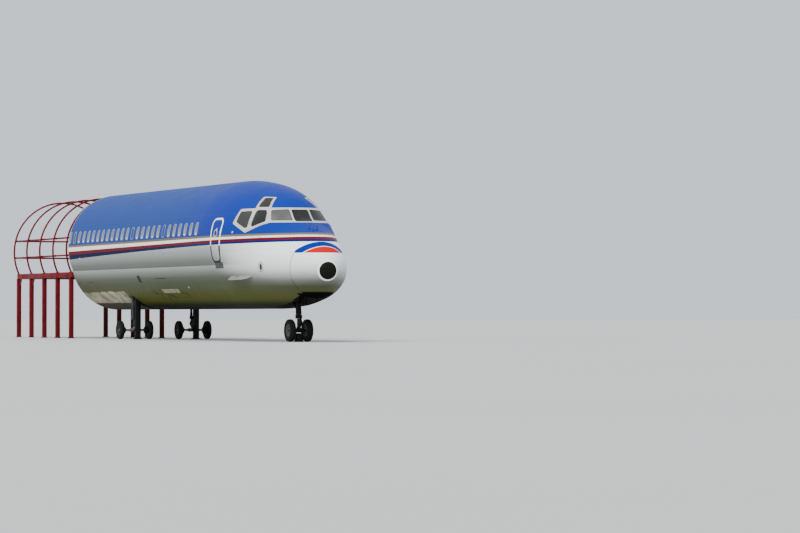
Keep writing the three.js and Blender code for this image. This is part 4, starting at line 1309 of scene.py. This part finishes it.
# Near-black gear paint: partly the gear's own black and partly painted shade, for the gear that stands in
# shade under the fuselage.
BLACK_GEAR_AND_SHADE = worn_paint(
    "black_gear_and_shade_paint", (0.004, 0.004, 0.005), (0.03, 0.03, 0.027), (0.008, 0.007, 0.005), 0.50, 0.15,
)
leg_parts = [turned("leg", [(r, -a) for r, a in LEG_PROFILE], (LEG_X, 0, LEG_TOP), UP, 40)]
leg_parts.append(turned("cross_tube", mirrored(CROSS_PROFILE), (LEG_X, 0, TRUNNION_Z), ACROSS, 32))
lug_ends = (LEG_X - 0.115, LEG_X - 0.05)
for y in (-0.035, 0.035):
    leg_parts.append(solid_box("lug", lug_ends, about(y, 0.008), (BELLY - 0.115, BELLY - 0.005), 0.006))
leg_parts.append(cross_rod("lug_pin", LUG_PIN, 0.055, 0.014))
for y in PIPES:
    ends = [(LEG_X + 0.083, y, LEG_FOOT + 0.05), (LEG_X + 0.083, y, LEG_TOP - 0.30)]
    leg_parts.append(rod("pipe", *ends, 0.0065, 10, 0.002))
for height in PIPE_BANDS:
    band_z = (LEG_FOOT + height, LEG_FOOT + height + 0.022)
    leg_parts.append(solid_box("pipe_band", (LEG_X + 0.060, LEG_X + 0.094), about(0, 0.044), band_z, 0.004))
for spot in ring_of((LEG_X, 0, LEG_FOOT + 0.075), UP, 0.078, 10):
    ends = (spot - Vector((0, 0, 0.05)), spot + Vector((0, 0, 0.01)))
    leg_parts.append(rod("gland_bolt", *ends, 0.007, 6, 0.001))
finish_piece(joined("nose_leg_cylinder", leg_parts), BLACK_GEAR_AND_SHADE, BODY, "dark_steel", ["nose_gear_leg"])

# Nose drag brace: a stepped black strut from the lug up to a shoe with two ears, which is
# fixed to the rear of the bay.
brace_foot = Vector(LUG_PIN)
brace_run = Vector((TIP - 3.165, 0, BELLY + 0.56)) - brace_foot
brace_profile = [
    (0, 0), (0.020, 0), (0.026, 0.010), (0.026, 0.05), (0.020, 0.07), (0.028, 0.12), (0.028, 0.44),
    (0.033, 0.45), (0.033, 0.50), (0.022, 0.52), (0.022, brace_run.length), (0, brace_run.length),
]
brace_parts = [turned("brace", brace_profile, brace_foot, brace_run, 24)]
shoe_z = (BELLY + 0.47, BELLY + 0.65)
brace_parts.append(solid_box("shoe", (TIP - 3.197, TIP - 3.16), about(0, 0.09), shoe_z, 0.008))
for y in (-0.038, 0.038):
    ear_z = (BELLY + 0.52, BELLY + 0.60)
    brace_parts.append(solid_box("ear", (TIP - 3.17, TIP - 3.125), about(y, 0.008), ear_z, 0.006))
finish_piece(joined("nose_brace_strut", brace_parts), BLACK_GEAR_AND_SHADE, BODY, "dark_steel", ["nose_drag_brace"])

# Steering collar: a cast ring that turns under the leg, with a flange at each end, bolts
# below and two horns for the steering links.
STEER = "nose_steering"
COLLAR_PROFILE = [
    (0.070, -0.0005), (0.098, -0.0005), (0.101, -0.004), (0.101, -0.020), (0.090, -0.026), (0.088, -0.075),
    (0.099, -0.082), (0.101, -0.086), (0.101, -0.100), (0.096, -0.104), (0.050, -0.104), (0.050, -0.0005),
    (0.070, -0.0005),
]
collar_parts = [turned("collar", COLLAR_PROFILE, (LEG_X, 0, LEG_FOOT), UP, 48)]
collar_spots = ring_of((LEG_X, 0, LEG_FOOT - 0.101), UP, 0.080, 12)
collar_parts.append(bolts("collar_bolts", collar_spots, (0, 0, -1), 0.008, 0.003))
for side in (-1, 1):
    horn_y = (side * 0.070 - 0.014, side * 0.070 + 0.026)
    horn_z = (LEG_FOOT - 0.078, LEG_FOOT - 0.026)
    collar_parts.append(solid_box("horn", about(LEG_X, 0.030), horn_y, horn_z, 0.006))
finish_piece(joined("steering_ring", collar_parts), BLACK_GEAR_AND_SHADE, STEER, "gear_steel", ["steering_collar"])

# Nose piston and axle: a greasy dulled rod with a scraper ring, its chrome darkened as painted
# shade, and a cast hub with a short socket for the rod and a black axle with a hexagon nut on each end.
AXLE_Z = 0.31
ROD_METAL = (0.045, 0.045, 0.048)
ROD_GREASE_AND_SHADE = (0.012, 0.011, 0.009)
PISTON_PROFILE = [(0, -0.002), (0.054, -0.002), (0.054, -0.016), (0.046, -0.020), (0.046, -0.27), (0, -0.27)]
HUB_PROFILE = [
    (0, 0.300), (0.026, 0.300), (0.030, 0.296), (0.034, 0.290), (0.034, 0.150), (0.050, 0.130),
    (0.060, 0.120), (0.062, 0.060), (0.056, 0.050),
]
SOCKET_PROFILE = [(0, 0.0), (0.060, 0.0), (0.062, 0.02), (0.060, 0.075), (0.050, 0.095), (0, 0.095)]


def chrome_finish():
    """Dulled chrome under a brown film of grease, both made darker as painted shade."""
    finish = Finish("chromed_rod")
    film = finish.clouds(9.0, 3.0)
    tint = finish.mix(ROD_METAL, ROD_GREASE_AND_SHADE, finish.ramp(film, 0.42, 0.70) * 0.8)
    return finish.set(Base_Color=tint, Roughness=film * 0.30 + 0.30, Metallic=0.7, Specular_IOR_Level=0.2)


CHROME = chrome_finish()
piston = turned("nose_piston_rod", PISTON_PROFILE, (LEG_X, 0, BELLY - 0.265), UP, 40)
finish_piece(piston, CHROME, STEER, "chrome_rod")
axle_parts = [turned("axle", mirrored(HUB_PROFILE), (LEG_X, 0, AXLE_Z), ACROSS, 40)]
axle_parts.append(turned("socket", SOCKET_PROFILE, (LEG_X, 0, AXLE_Z), UP, 32))
for side in (-1, 1):
    ends = [(LEG_X, side * out, AXLE_Z) for out in (0.297, 0.311)]
    axle_parts.append(rod("axle_nut", *ends, 0.026, 6, 0.002))
finish_piece(joined("nose_axle_hub", axle_parts), BLACK_GEAR_AND_SHADE, STEER, "gear_steel", ["nose_piston_axle"])

# Torque links: two tapered forged arms with a lightening window each, pinned together at
# the knee, to the collar above and to the hub below. Their sizes run out from the leg's
# middle and down from the belly's bottom.
NOSE_LINKS = {"upper": 0.1026, "lower": 0.0600, "reach": 0.175, "top": 0.175, "knee": 0.385, "foot": 0.545}
MID_LINKS = {"upper": 0.0605, "lower": 0.0605, "reach": 0.225, "top": 0.21, "knee": 0.44, "foot": 0.60}


def plate_across(name, outline, y, half):
    """A plate from its outline in x and z, half of its thickness on each side of y."""
    return prism(name, [((x, y - half, z), (x, y + half, z)) for x, z in outline])


def link_arm(name, points, y, half):
    """An arm with a lightening window, from an outline in x and z."""
    middle = [sum(p[i] for p in points) / len(points) for i in (0, 1)]
    window = [tuple(middle[i] + (p[i] - middle[i]) * 0.52 for i in (0, 1)) for p in points]
    arm = plate_across(name, rounded(points, 0.014, 4), y, half)
    hole = plate_across("window", rounded(window, 0.012, 4), y, half * 2)
    return eased(combine(arm, hole, "DIFFERENCE"), 0.003, 2, 50)


def torque_links(name, leg_x, way, y, sizes):
    """The pair of arms ahead of a leg or behind it, with their pins."""
    upper, lower, reach = sizes["upper"], sizes["lower"], sizes["reach"]
    top, knee, foot = (BELLY - sizes[level] for level in ("top", "knee", "foot"))
    upper_arm = [(upper, top), (upper, top - 0.055), (reach, knee - 0.012), (reach + 0.045, knee + 0.016)]
    lower_arm = [(lower, foot), (lower, foot + 0.05), (reach, knee + 0.012), (reach + 0.045, knee - 0.016)]
    parts = []
    for part, arm, half in (("upper_arm", upper_arm, 0.026), ("lower_arm", lower_arm, 0.020)):
        parts.append(link_arm(part, [(leg_x + way * out, z) for out, z in arm], y, half))
    for out, z in ((upper + 0.016, top - 0.024), (reach + 0.022, knee), (lower + 0.016, foot + 0.022)):
        parts.append(cross_rod("link_pin", (leg_x + way * out, y, z), 0.034, 0.012, 12, 0.002))
    return joined(name, parts)


nose_links = torque_links("nose_link_arms", LEG_X, 1, 0.0, NOSE_LINKS)
finish_piece(nose_links, BLACK_GEAR_AND_SHADE, STEER, "dark_steel", ["nose_torque_links"])

# Wheels: ribbed tyres of old dusty rubber on painted split rims with a ring of round holes
# and tie bolts on both faces.
NOSE_WHEEL = {"radius": 0.31, "half": 0.0825, "bead": 0.165, "axle": 0.034}
MID_WHEEL = {"radius": 0.28, "half": 0.070, "bead": 0.150, "axle": 0.034}
GROOVES = (-0.48, -0.17, 0.17, 0.48)
GROOVE_DEEP = 0.006
BEAD_PROFILE = [(0, 0.70), (0.004, 0.76), (0.014, 0.79), (0.020, 0.84)]
WALL_PROFILE = [
    (0.22, 0.92), (0.36, 0.985), (0.50, 1.0), (0.62, 0.985), (0.64, 1.0), (0.67, 0.98), (0.78, 0.91),
    (0.87, 0.80), (0.925, 0.70),
]
# The rubber's black is darker than the rubber itself, as painted shade.
RUBBER_BLACK_AND_SHADE = (0.005, 0.005, 0.005)
RUBBER_DUST = (0.015, 0.014, 0.012)
RUBBER_GRAIN = (0.011, 0.010, 0.009)


def tyre_profile(wheel):
    """From one bead over the tread to the other, as (radius, along) pairs."""
    outer, half, bead = wheel["radius"], wheel["half"], wheel["bead"]
    side = [(bead + rise, share) for rise, share in BEAD_PROFILE]
    side += [(bead + (outer - bead) * rise, share) for rise, share in WALL_PROFILE]
    line = [(radius, -share * half) for radius, share in side]
    for groove in GROOVES:
        crown = outer - half * 0.30 * groove**2
        for edge, deep in ((-0.05, 0), (-0.04, GROOVE_DEEP), (0.04, GROOVE_DEEP), (0.05, 0)):
            line.append((crown - deep, (groove + edge) * half))
    line += [(radius, share * half) for radius, share in reversed(side)]
    return line + line[:1]


def rim_profile(wheel):
    """A split rim: flanges, a drop centre, a dished web and a long hub."""
    half, bead = wheel["half"], wheel["bead"] - 0.0004
    hub, axle = wheel["axle"] + 0.034, wheel["axle"] + 0.001
    side = [
        (axle, 0.55), (hub - 0.008, 0.55), (hub, 0.50), (hub, 0.30), (hub + 0.012, 0.22),
        (bead - 0.052, 0.30), (bead - 0.030, 0.42), (bead - 0.022, 0.60), (bead - 0.016, 0.73),
        (bead - 0.006, 0.76), (bead, 0.74), (bead, 0.60),
    ]
    line = mirrored([(radius, share * half) for radius, share in side])
    return line + line[:1]


def rubber_finish():
    """Old black rubber under dust, with a fine grain, made darker as painted shade."""
    finish = Finish("old_rubber")
    dust = finish.clouds(5.0, 4.0, 0.6)
    fine = finish.clouds(70.0, 3.0, 0.6)
    tint = finish.mix(RUBBER_BLACK_AND_SHADE, RUBBER_DUST, finish.ramp(dust, 0.40, 0.80) * 0.7)
    tint = finish.mix(tint, RUBBER_GRAIN, finish.ramp(fine, 0.55, 0.8) * 0.5)
    finish.bumps(fine + dust * 0.5, 0.0012, 0.5)
    return finish.set(Base_Color=tint, Roughness=dust * 0.15 + 0.72, Specular_IOR_Level=0.15)


def wheel_pair(name, wheel, centre, body, rim_paint):
    """One tyre and its rim, on an axle along y."""
    tyre = turned(f"{name}_tyre_rubber", tyre_profile(wheel), centre, ACROSS, 64)
    finish_piece(tyre, RUBBER, body, "tyre", [f"{name}_tyre"], 28)
    rim = turned(f"{name}_rim_metal", rim_profile(wheel), centre, ACROSS, 64)
    hole_ring = (wheel["axle"] + wheel["bead"]) / 2 + 0.004
    reach = Vector((0, wheel["half"], 0))
    holes = []
    for spot in ring_of(centre, ACROSS, hole_ring, 9):
        holes.append(rod("hole", spot - reach, spot + reach, 0.0155, 16, 0.002))
    combine(rim, joined("holes", holes), "DIFFERENCE")
    parts = [rim]
    for way in (-1, 1):
        face = Vector(centre) + Vector((0, way * wheel["half"] * 0.31, 0))
        places = ring_of(face, ACROSS, wheel["bead"] - 0.048, 9, math.pi / 9)
        parts.append(bolts("tie_bolts", places, (0, way, 0), 0.0065, 0.007))
    finish_piece(joined(f"{name}_rim_metal", parts), rim_paint, body, "rim", [f"{name}_rim"])


RUBBER = rubber_finish()
RIM_PAINT = worn_paint(
    "rim_paint", (0.060, 0.062, 0.064), (0.20, 0.19, 0.16), (0.012, 0.011, 0.010), 0.45, 0.25, 11.0, 0.75,
)
# The mid wheels' rims: the same rim paint made darker, as painted shade under the fuselage.
SHADED_RIM = worn_paint(
    "shaded_rim_paint", (0.020, 0.020, 0.020), (0.09, 0.08, 0.07), (0.007, 0.006, 0.005), 0.45, 0.2, 11.0, 0.75,
)
for side, side_name in SIDES:
    wheel_pair(f"nose_{side_name}", NOSE_WHEEL, (LEG_X, side * 0.25, AXLE_Z), "nose_wheels", RIM_PAINT)

# Mid legs: on each side two tubes hang from a bolted plate on the notch's roof, with a band
# round both and a cast yoke at their feet. Below it are a dulled rod, a hub, a wide grey
# axle and black brake packs.
MID_X = TIP - 13.84
MID_Z = 0.28
MID_SIDE = 0.93
NOTCH_Z = BELLY + NOTCH["roof"]
TUBE_SPREAD = 0.057
TUBE_PROFILE = [
    (0, 0.0), (0.050, 0.0), (0.050, 0.034), (0.038, 0.050), (0.038, 0.28), (0.041, 0.285), (0.041, 0.31),
    (0.037, 0.315), (0.037, 0.52), (0.041, 0.53), (0.041, 0.62), (0, 0.62),
]
BAND_PROFILE = [(0.036, -0.026), (0.045, -0.022), (0.045, 0.022), (0.036, 0.026), (0.036, -0.026)]
ROD_PROFILE = [(0, 0.60), (0.052, 0.60), (0.052, 0.585), (0.046, 0.58), (0.046, 0.30), (0, 0.30)]
MID_HUB_PROFILE = [
    (0, 0.505), (0.028, 0.505), (0.034, 0.497), (0.034, 0.18), (0.048, 0.150), (0.058, 0.140), (0.060, 0.09),
    (0.054, 0.07),
]
BOSS_PROFILE = [(0, 0), (0.058, 0), (0.060, 0.03), (0.058, 0.07), (0.048, 0.09), (0, 0.09)]
PACK_PROFILE = [
    (0.036, 0.300), (0.085, 0.300), (0.092, 0.306), (0.092, 0.330), (0.112, 0.336), (0.112, 0.392),
    (0.106, 0.398), (0.036, 0.398), (0.036, 0.300),
]
SLATE_GEAR = worn_paint(
    "slate_gear_paint", (0.030, 0.033, 0.040), (0.08, 0.08, 0.08), (0.010, 0.010, 0.009), 0.42, 0.30,
)
GREY_GEAR = worn_paint(
    "grey_gear_paint", (0.120, 0.123, 0.120), (0.08, 0.07, 0.06), (0.03, 0.027, 0.022), 0.45, 0.3, 7.0, 0.75,
)
for side, side_name in SIDES:
    y = side * MID_SIDE
    hub = (MID_X, y, MID_Z)
    parts = []
    for off in (-TUBE_SPREAD, TUBE_SPREAD):
        tube = [(r, -a) for r, a in TUBE_PROFILE]
        parts.append(turned("twin_tube", tube, (MID_X, y + off, NOTCH_Z), UP, 32))
        parts.append(turned("band", BAND_PROFILE, (MID_X, y + off, BELLY + 0.06), UP, 28))
    bridge_z = (BELLY + 0.040, BELLY + 0.080)
    parts.append(solid_box("band_bridge", about(MID_X, 0.020), about(y, 0.05), bridge_z, 0.004))
    plate_z = (NOTCH_Z - 0.0255, NOTCH_Z - 0.0005)
    parts.append(solid_box("top_plate", (TIP - 14.0, TIP - 13.79), about(y, 0.12), plate_z, 0.004))
    corners = [(TIP - s, y + off, NOTCH_Z - 0.026) for s in (13.92, 13.975) for off in (-0.10, 0.10)]
    parts.append(bolts("plate_bolts", corners, (0, 0, -1), 0.012, 0.009))
    yoke_z = (BELLY - 0.300, BELLY - 0.190)
    parts.append(solid_box("yoke", about(MID_X, 0.060), about(y, 0.10), yoke_z, 0.018, 3))
    corners = [(MID_X + 0.060, y + a * 0.070, BELLY - 0.245 + b * 0.028) for a in (-1, 1) for b in (-1, 1)]
    parts.append(bolts("yoke_bolts", corners, (1, 0, 0)))
    leg = joined(f"mid_leg_tubes_{side_name}", parts)
    # The port legs take the near-black paint and the starboard legs the slate: the port copy is painted
    # shade.
    leg_paint = SLATE_GEAR if side < 0 else BLACK_GEAR_AND_SHADE
    finish_piece(leg, leg_paint, BODY, "gear_steel", [f"mid_leg_{side_name}"])

    piston = turned(f"mid_piston_{side_name}", ROD_PROFILE, (MID_X, y, 0), UP, 36)
    finish_piece(piston, CHROME, BODY, "chrome_rod")
    axle_parts = [turned("axle", mirrored(MID_HUB_PROFILE), hub, ACROSS, 36)]
    axle_parts.append(turned("hub_boss", BOSS_PROFILE, hub, UP, 32))
    axle = joined(f"mid_axle_hub_{side_name}", axle_parts)
    finish_piece(axle, GREY_GEAR, BODY, "gear_steel", [f"mid_axle_{side_name}"])
    packs = []
    for way in (-1, 1):
        packs.append(turned("pack", [(r, way * a) for r, a in PACK_PROFILE], hub, ACROSS, 40))
        for spot in ring_of((MID_X, y + way * 0.318, MID_Z), ACROSS, 0.098, 7):
            packs.append(rod("brake_cylinder", spot, spot + Vector((0, way * 0.05, 0)), 0.016, 12, 0.002))
    finish_piece(joined(f"brake_packs_{side_name}", packs), BLACK_GEAR_AND_SHADE, BODY, "dark_steel")
    links = torque_links(f"mid_link_arms_{side_name}", MID_X, -1, y, MID_LINKS)
    finish_piece(links, BLACK_GEAR_AND_SHADE, BODY, "dark_steel", [f"mid_links_{side_name}"])
    for place, offset in (("inboard", -0.455), ("outboard", 0.455)):
        wheel_at = (MID_X, y + side * offset, MID_Z)
        wheel_pair(f"mid_{side_name}_{place}", MID_WHEEL, wheel_at, f"{side_name}_wheels", SHADED_RIM)

# Stands: a short black block under the nose hub and a tall black box prop ahead of each
# mid leg, which bears on the notch's roof. Each has a foot plate with two gussets and a cap,
# and the props' feet are bolted.
NOSE_STAND = {"half": 0.095, "top": 0.24, "spare": 0.015}
PROP = {"front": 13.635, "rear": 13.775, "shift": 0.05, "half": 0.08, "spare": 0.04}
BOLTED_SPARE = 0.03


def stand_piece(name, station_ends, y, sizes, top, node):
    """A box column with its foot, gussets, bolts and cap."""
    low, high = TIP - station_ends[1], TIP - station_ends[0]
    middle, deep = (low + high) / 2, (high - low) / 2
    half, spare = sizes["half"], sizes["spare"]
    parts = [solid_box("column", (low, high), about(y, half), (0.010, top), 0.006)]
    parts.append(solid_box("foot", (low - spare, high + spare), about(y, half + spare), (0.0, 0.020), 0.004))
    for way in (-1, 1):
        near, far = y + way * half, y + way * (half + spare * 0.9)
        gusset = [(near, 0.018), (far, 0.018), (near, 0.09)]
        parts.append(prism("gusset", [((middle - 0.006, a, z), (middle + 0.006, a, z)) for a, z in gusset]))
    if spare > BOLTED_SPARE:
        out = 0.022
        spots = [(middle + a * (deep + out), y + b * (half + out), 0.020) for a in (-1, 1) for b in (-1, 1)]
        parts.append(bolts("foot_bolts", spots, UP, 0.010, 0.010))
    cap_ends = (low - 0.006, high + 0.006)
    parts.append(solid_box("cap", cap_ends, about(y, half + 0.006), (top - 0.016, top), 0.003))
    finish_piece(joined(name, parts), BLACK_GEAR_AND_SHADE, BODY, "dark_steel", [node])


nose_ends = about(TIP - LEG_X, NOSE_STAND["half"])
stand_piece("nose_stand_block", nose_ends, 0.0, NOSE_STAND, NOSE_STAND["top"], "nose_stand")
for side, side_name in SIDES:
    y = side * MID_SIDE + PROP["shift"]
    prop_ends = (PROP["front"], PROP["rear"])
    stand_piece(f"prop_column_{side_name}", prop_ends, y, PROP, NOTCH_Z - 0.0005, f"prop_{side_name}")

# Side frames: red painted box posts with bolted base plates and head plates, a deep beam
# along their tops, and a plate knee at the last two posts.
POSTS = [18.53 + 1.475 * i for i in range(5)]
FRAME_SIDE = 1.50
FRAME_ENDS = (-12.24, TIP - 18.3006)
BEAM_TOP = BELLY + 1.185
BEAM_LOW = BEAM_TOP - 0.17
BEAM_HALF = 0.05
POST_HALF = 0.065
KNEE = [(-0.002, 0), (-0.002, -0.26), (0.05, -0.26), (0.26, -0.05), (0.26, 0)]
# Each red paint has its colour, chips, grime, roughness, shine, blotch scale and dirt share.
RED_PAINTS = {
    "red_frame": ((0.130, 0.004, 0.008), (0.06, 0.020, 0.015), (0.055, 0.005, 0.006), 0.5, 0.12, 3.0, 0.5),
    "faded_beam": ((0.150, 0.009, 0.012), (0.06, 0.02, 0.018), (0.090, 0.006, 0.008), 0.5, 0.06, 3.0, 0.5),
    "shaded_frame": ((0.062, 0.003, 0.004), (0.035, 0.012, 0.009), (0.028, 0.003, 0.003), 0.5, 0.08, 3.0, 0.5),
}
RED_FRAME, BEAM_RED, SHADED_RED = (worn_paint(f"{name}_paint", *row) for name, row in RED_PAINTS.items())
for side, side_name in SIDES:
    y = side * FRAME_SIDE
    beam = solid_box(f"side_beam_{side_name}", FRAME_ENDS, about(y, BEAM_HALF), (BEAM_LOW, BEAM_TOP), 0.007)
    finish_piece(beam, BEAM_RED, BODY, "red_steel")
    parts = []
    for station in POSTS:
        x = TIP - station
        head_z = BEAM_LOW + 0.001
        parts.append(solid_box("post", about(x, POST_HALF), about(y, POST_HALF), (0.006, head_z), 0.008))
        parts.append(solid_box("base_plate", about(x, 0.070), about(y, 0.10), (0, 0.014), 0.003))
        spots = [(x + a * 0.045, y + b * 0.083, 0.014) for a in (-1, 1) for b in (-1, 1)]
        parts.append(bolts("base_bolts", spots, UP, 0.012, 0.012))
        plate_z = (BEAM_LOW - 0.012, head_z)
        parts.append(solid_box("head_plate", about(x, 0.082), about(y, 0.068), plate_z, 0.002))
    for station in POSTS[3:]:
        face = TIP - station + POST_HALF
        knee = [(face + out, BEAM_LOW + rise) for out, rise in KNEE]
        parts.append(apply(plate_across("knee", knee, y, 0.012), "BEVEL", width=0.003, segments=1))
    steel = joined(f"side_frame_steel_{side_name}", parts)
    # The port frame takes the darker red as painted shade, and the starboard frame the lit red.
    finish_piece(steel, RED_FRAME if side < 0 else SHADED_RED, BODY, "red_steel", [f"side_frame_{side_name}"])

# Walkway deck: a rusty steel checker plate between the side beams, which lies on five cross
# joists, one at each pair of posts.
DECK_HALF = FRAME_SIDE - 0.0503
DECK_TOP = BEAM_TOP - 0.045
DECK_STEEL = (0.16, 0.155, 0.145)
DECK_RUST = (0.12, 0.065, 0.035)


def deck_finish():
    """Dull steel with rust in soft patches and a raised checker."""
    finish = Finish("checker_plate")
    _, x, y, _ = finish.place()
    rust = finish.clouds(3.0, 4.0, 0.6)
    tint = finish.mix(DECK_STEEL, DECK_RUST, finish.ramp(rust, 0.48, 0.72) * 0.7)
    cross = ((x + y) * 60.0).math("SINE") * ((x - y) * 60.0).math("SINE")
    finish.bumps(finish.ramp(cross, 0.35, 0.65) + rust * 0.4, 0.002, 0.6)
    return finish.set(Base_Color=tint, Roughness=rust * 0.3 + 0.45, Metallic=0.5)


deck_wide = (-DECK_HALF, DECK_HALF)
parts = [solid_box("deck", FRAME_ENDS, deck_wide, (DECK_TOP - 0.040, DECK_TOP), 0.003)]
for station in POSTS:
    x = TIP - station
    web_z = (BEAM_LOW + 0.001, DECK_TOP - 0.038)
    parts.append(solid_box("joist_web", about(x, 0.006), deck_wide, web_z, 0.002))
    parts.append(solid_box("joist_foot", about(x, 0.030), deck_wide, (BEAM_LOW, BEAM_LOW + 0.010), 0.002))
finish_piece(joined("walkway_plates", parts), deck_finish(), BODY, "deck_plate", ["walkway_deck"])

# Hoops and guard rails: bent red tube over the walkway, each hoop on two bolted feet, with
# two long rails on each side inside them, held by clips, and two across the last hoop.
HOOP = {"radius": 1.660, "tube": 0.044, "centre": BELLY + 1.893}
HOOP_SEAT = BEAM_TOP + 0.0005
RAIL_TUBE = 0.028
RAILS = {"upper": (BELLY + 2.27, 1.548), "lower": (BELLY + 1.717, 1.584)}
CLIP_PROFILE = [(0.027, -0.018), (0.034, -0.018), (0.034, 0.018), (0.027, 0.018), (0.027, -0.018)]
foot_angle = math.asin((HOOP["centre"] - BEAM_TOP) / HOOP["radius"])
foot_y = HOOP["radius"] * math.cos(foot_angle)


def bent_tube(name, x):
    """A hoop of round tube from one foot over the walkway to the other."""
    disc = {"vertices": 16, "radius": HOOP["tube"], "fill_type": "NGON"}
    place = {"location": (x, foot_y, HOOP_SEAT), "rotation": (foot_angle, 0, 0)}
    hoop = primitive(name, bpy.ops.mesh.primitive_circle_add, **disc, **place)
    edit(hoop)
    sweep = math.pi + 2 * foot_angle
    bpy.ops.mesh.spin(steps=72, angle=sweep, center=(x, 0, HOOP["centre"]), axis=(-1, 0, 0))
    bpy.ops.mesh.select_all(action="SELECT")
    bpy.ops.mesh.normals_make_consistent(inside=False)
    bpy.ops.object.mode_set(mode="OBJECT")
    return hoop


for i, station in enumerate(POSTS):
    x = TIP - station
    parts = [bent_tube("hoop", x)]
    for side in (-1, 1):
        y = side * foot_y
        foot_top = BEAM_TOP + 0.012
        parts.append(solid_box("foot", about(x, 0.075), about(y, 0.048), (HOOP_SEAT, foot_top), 0.003))
        spots = [(x + off, y, foot_top) for off in (-0.060, 0.060)]
        parts.append(bolts("foot_bolts", spots, UP, 0.010, 0.009))
        for level, rail_y in RAILS.values():
            parts.append(turned("rail_clip", CLIP_PROFILE, (x, side * rail_y, level), (1, 0, 0), 20))
    if station == POSTS[-1]:
        for level, _ in RAILS.values():
            reach = math.sqrt(HOOP["radius"] ** 2 - (level - HOOP["centre"]) ** 2)
            parts.append(cross_rod("cross_rail", (x, 0, level), reach, RAIL_TUBE, 16))
    finish_piece(joined(f"hoop_tube_{i + 1}", parts), RED_FRAME, BODY, "red_steel", [f"hoop_{i + 1}"])
for side, side_name in SIDES:
    for name, (level, rail_y) in RAILS.items():
        ends = [(x, side * rail_y, level) for x in (FRAME_ENDS[1] - 0.001, TIP - POSTS[-1] + 0.02)]
        rail = rod(f"{name}_rail_tube_{side_name}", *ends, RAIL_TUBE, 16)
        finish_piece(rail, RED_FRAME, BODY, "red_steel", [f"{name}_rail_{side_name}"])
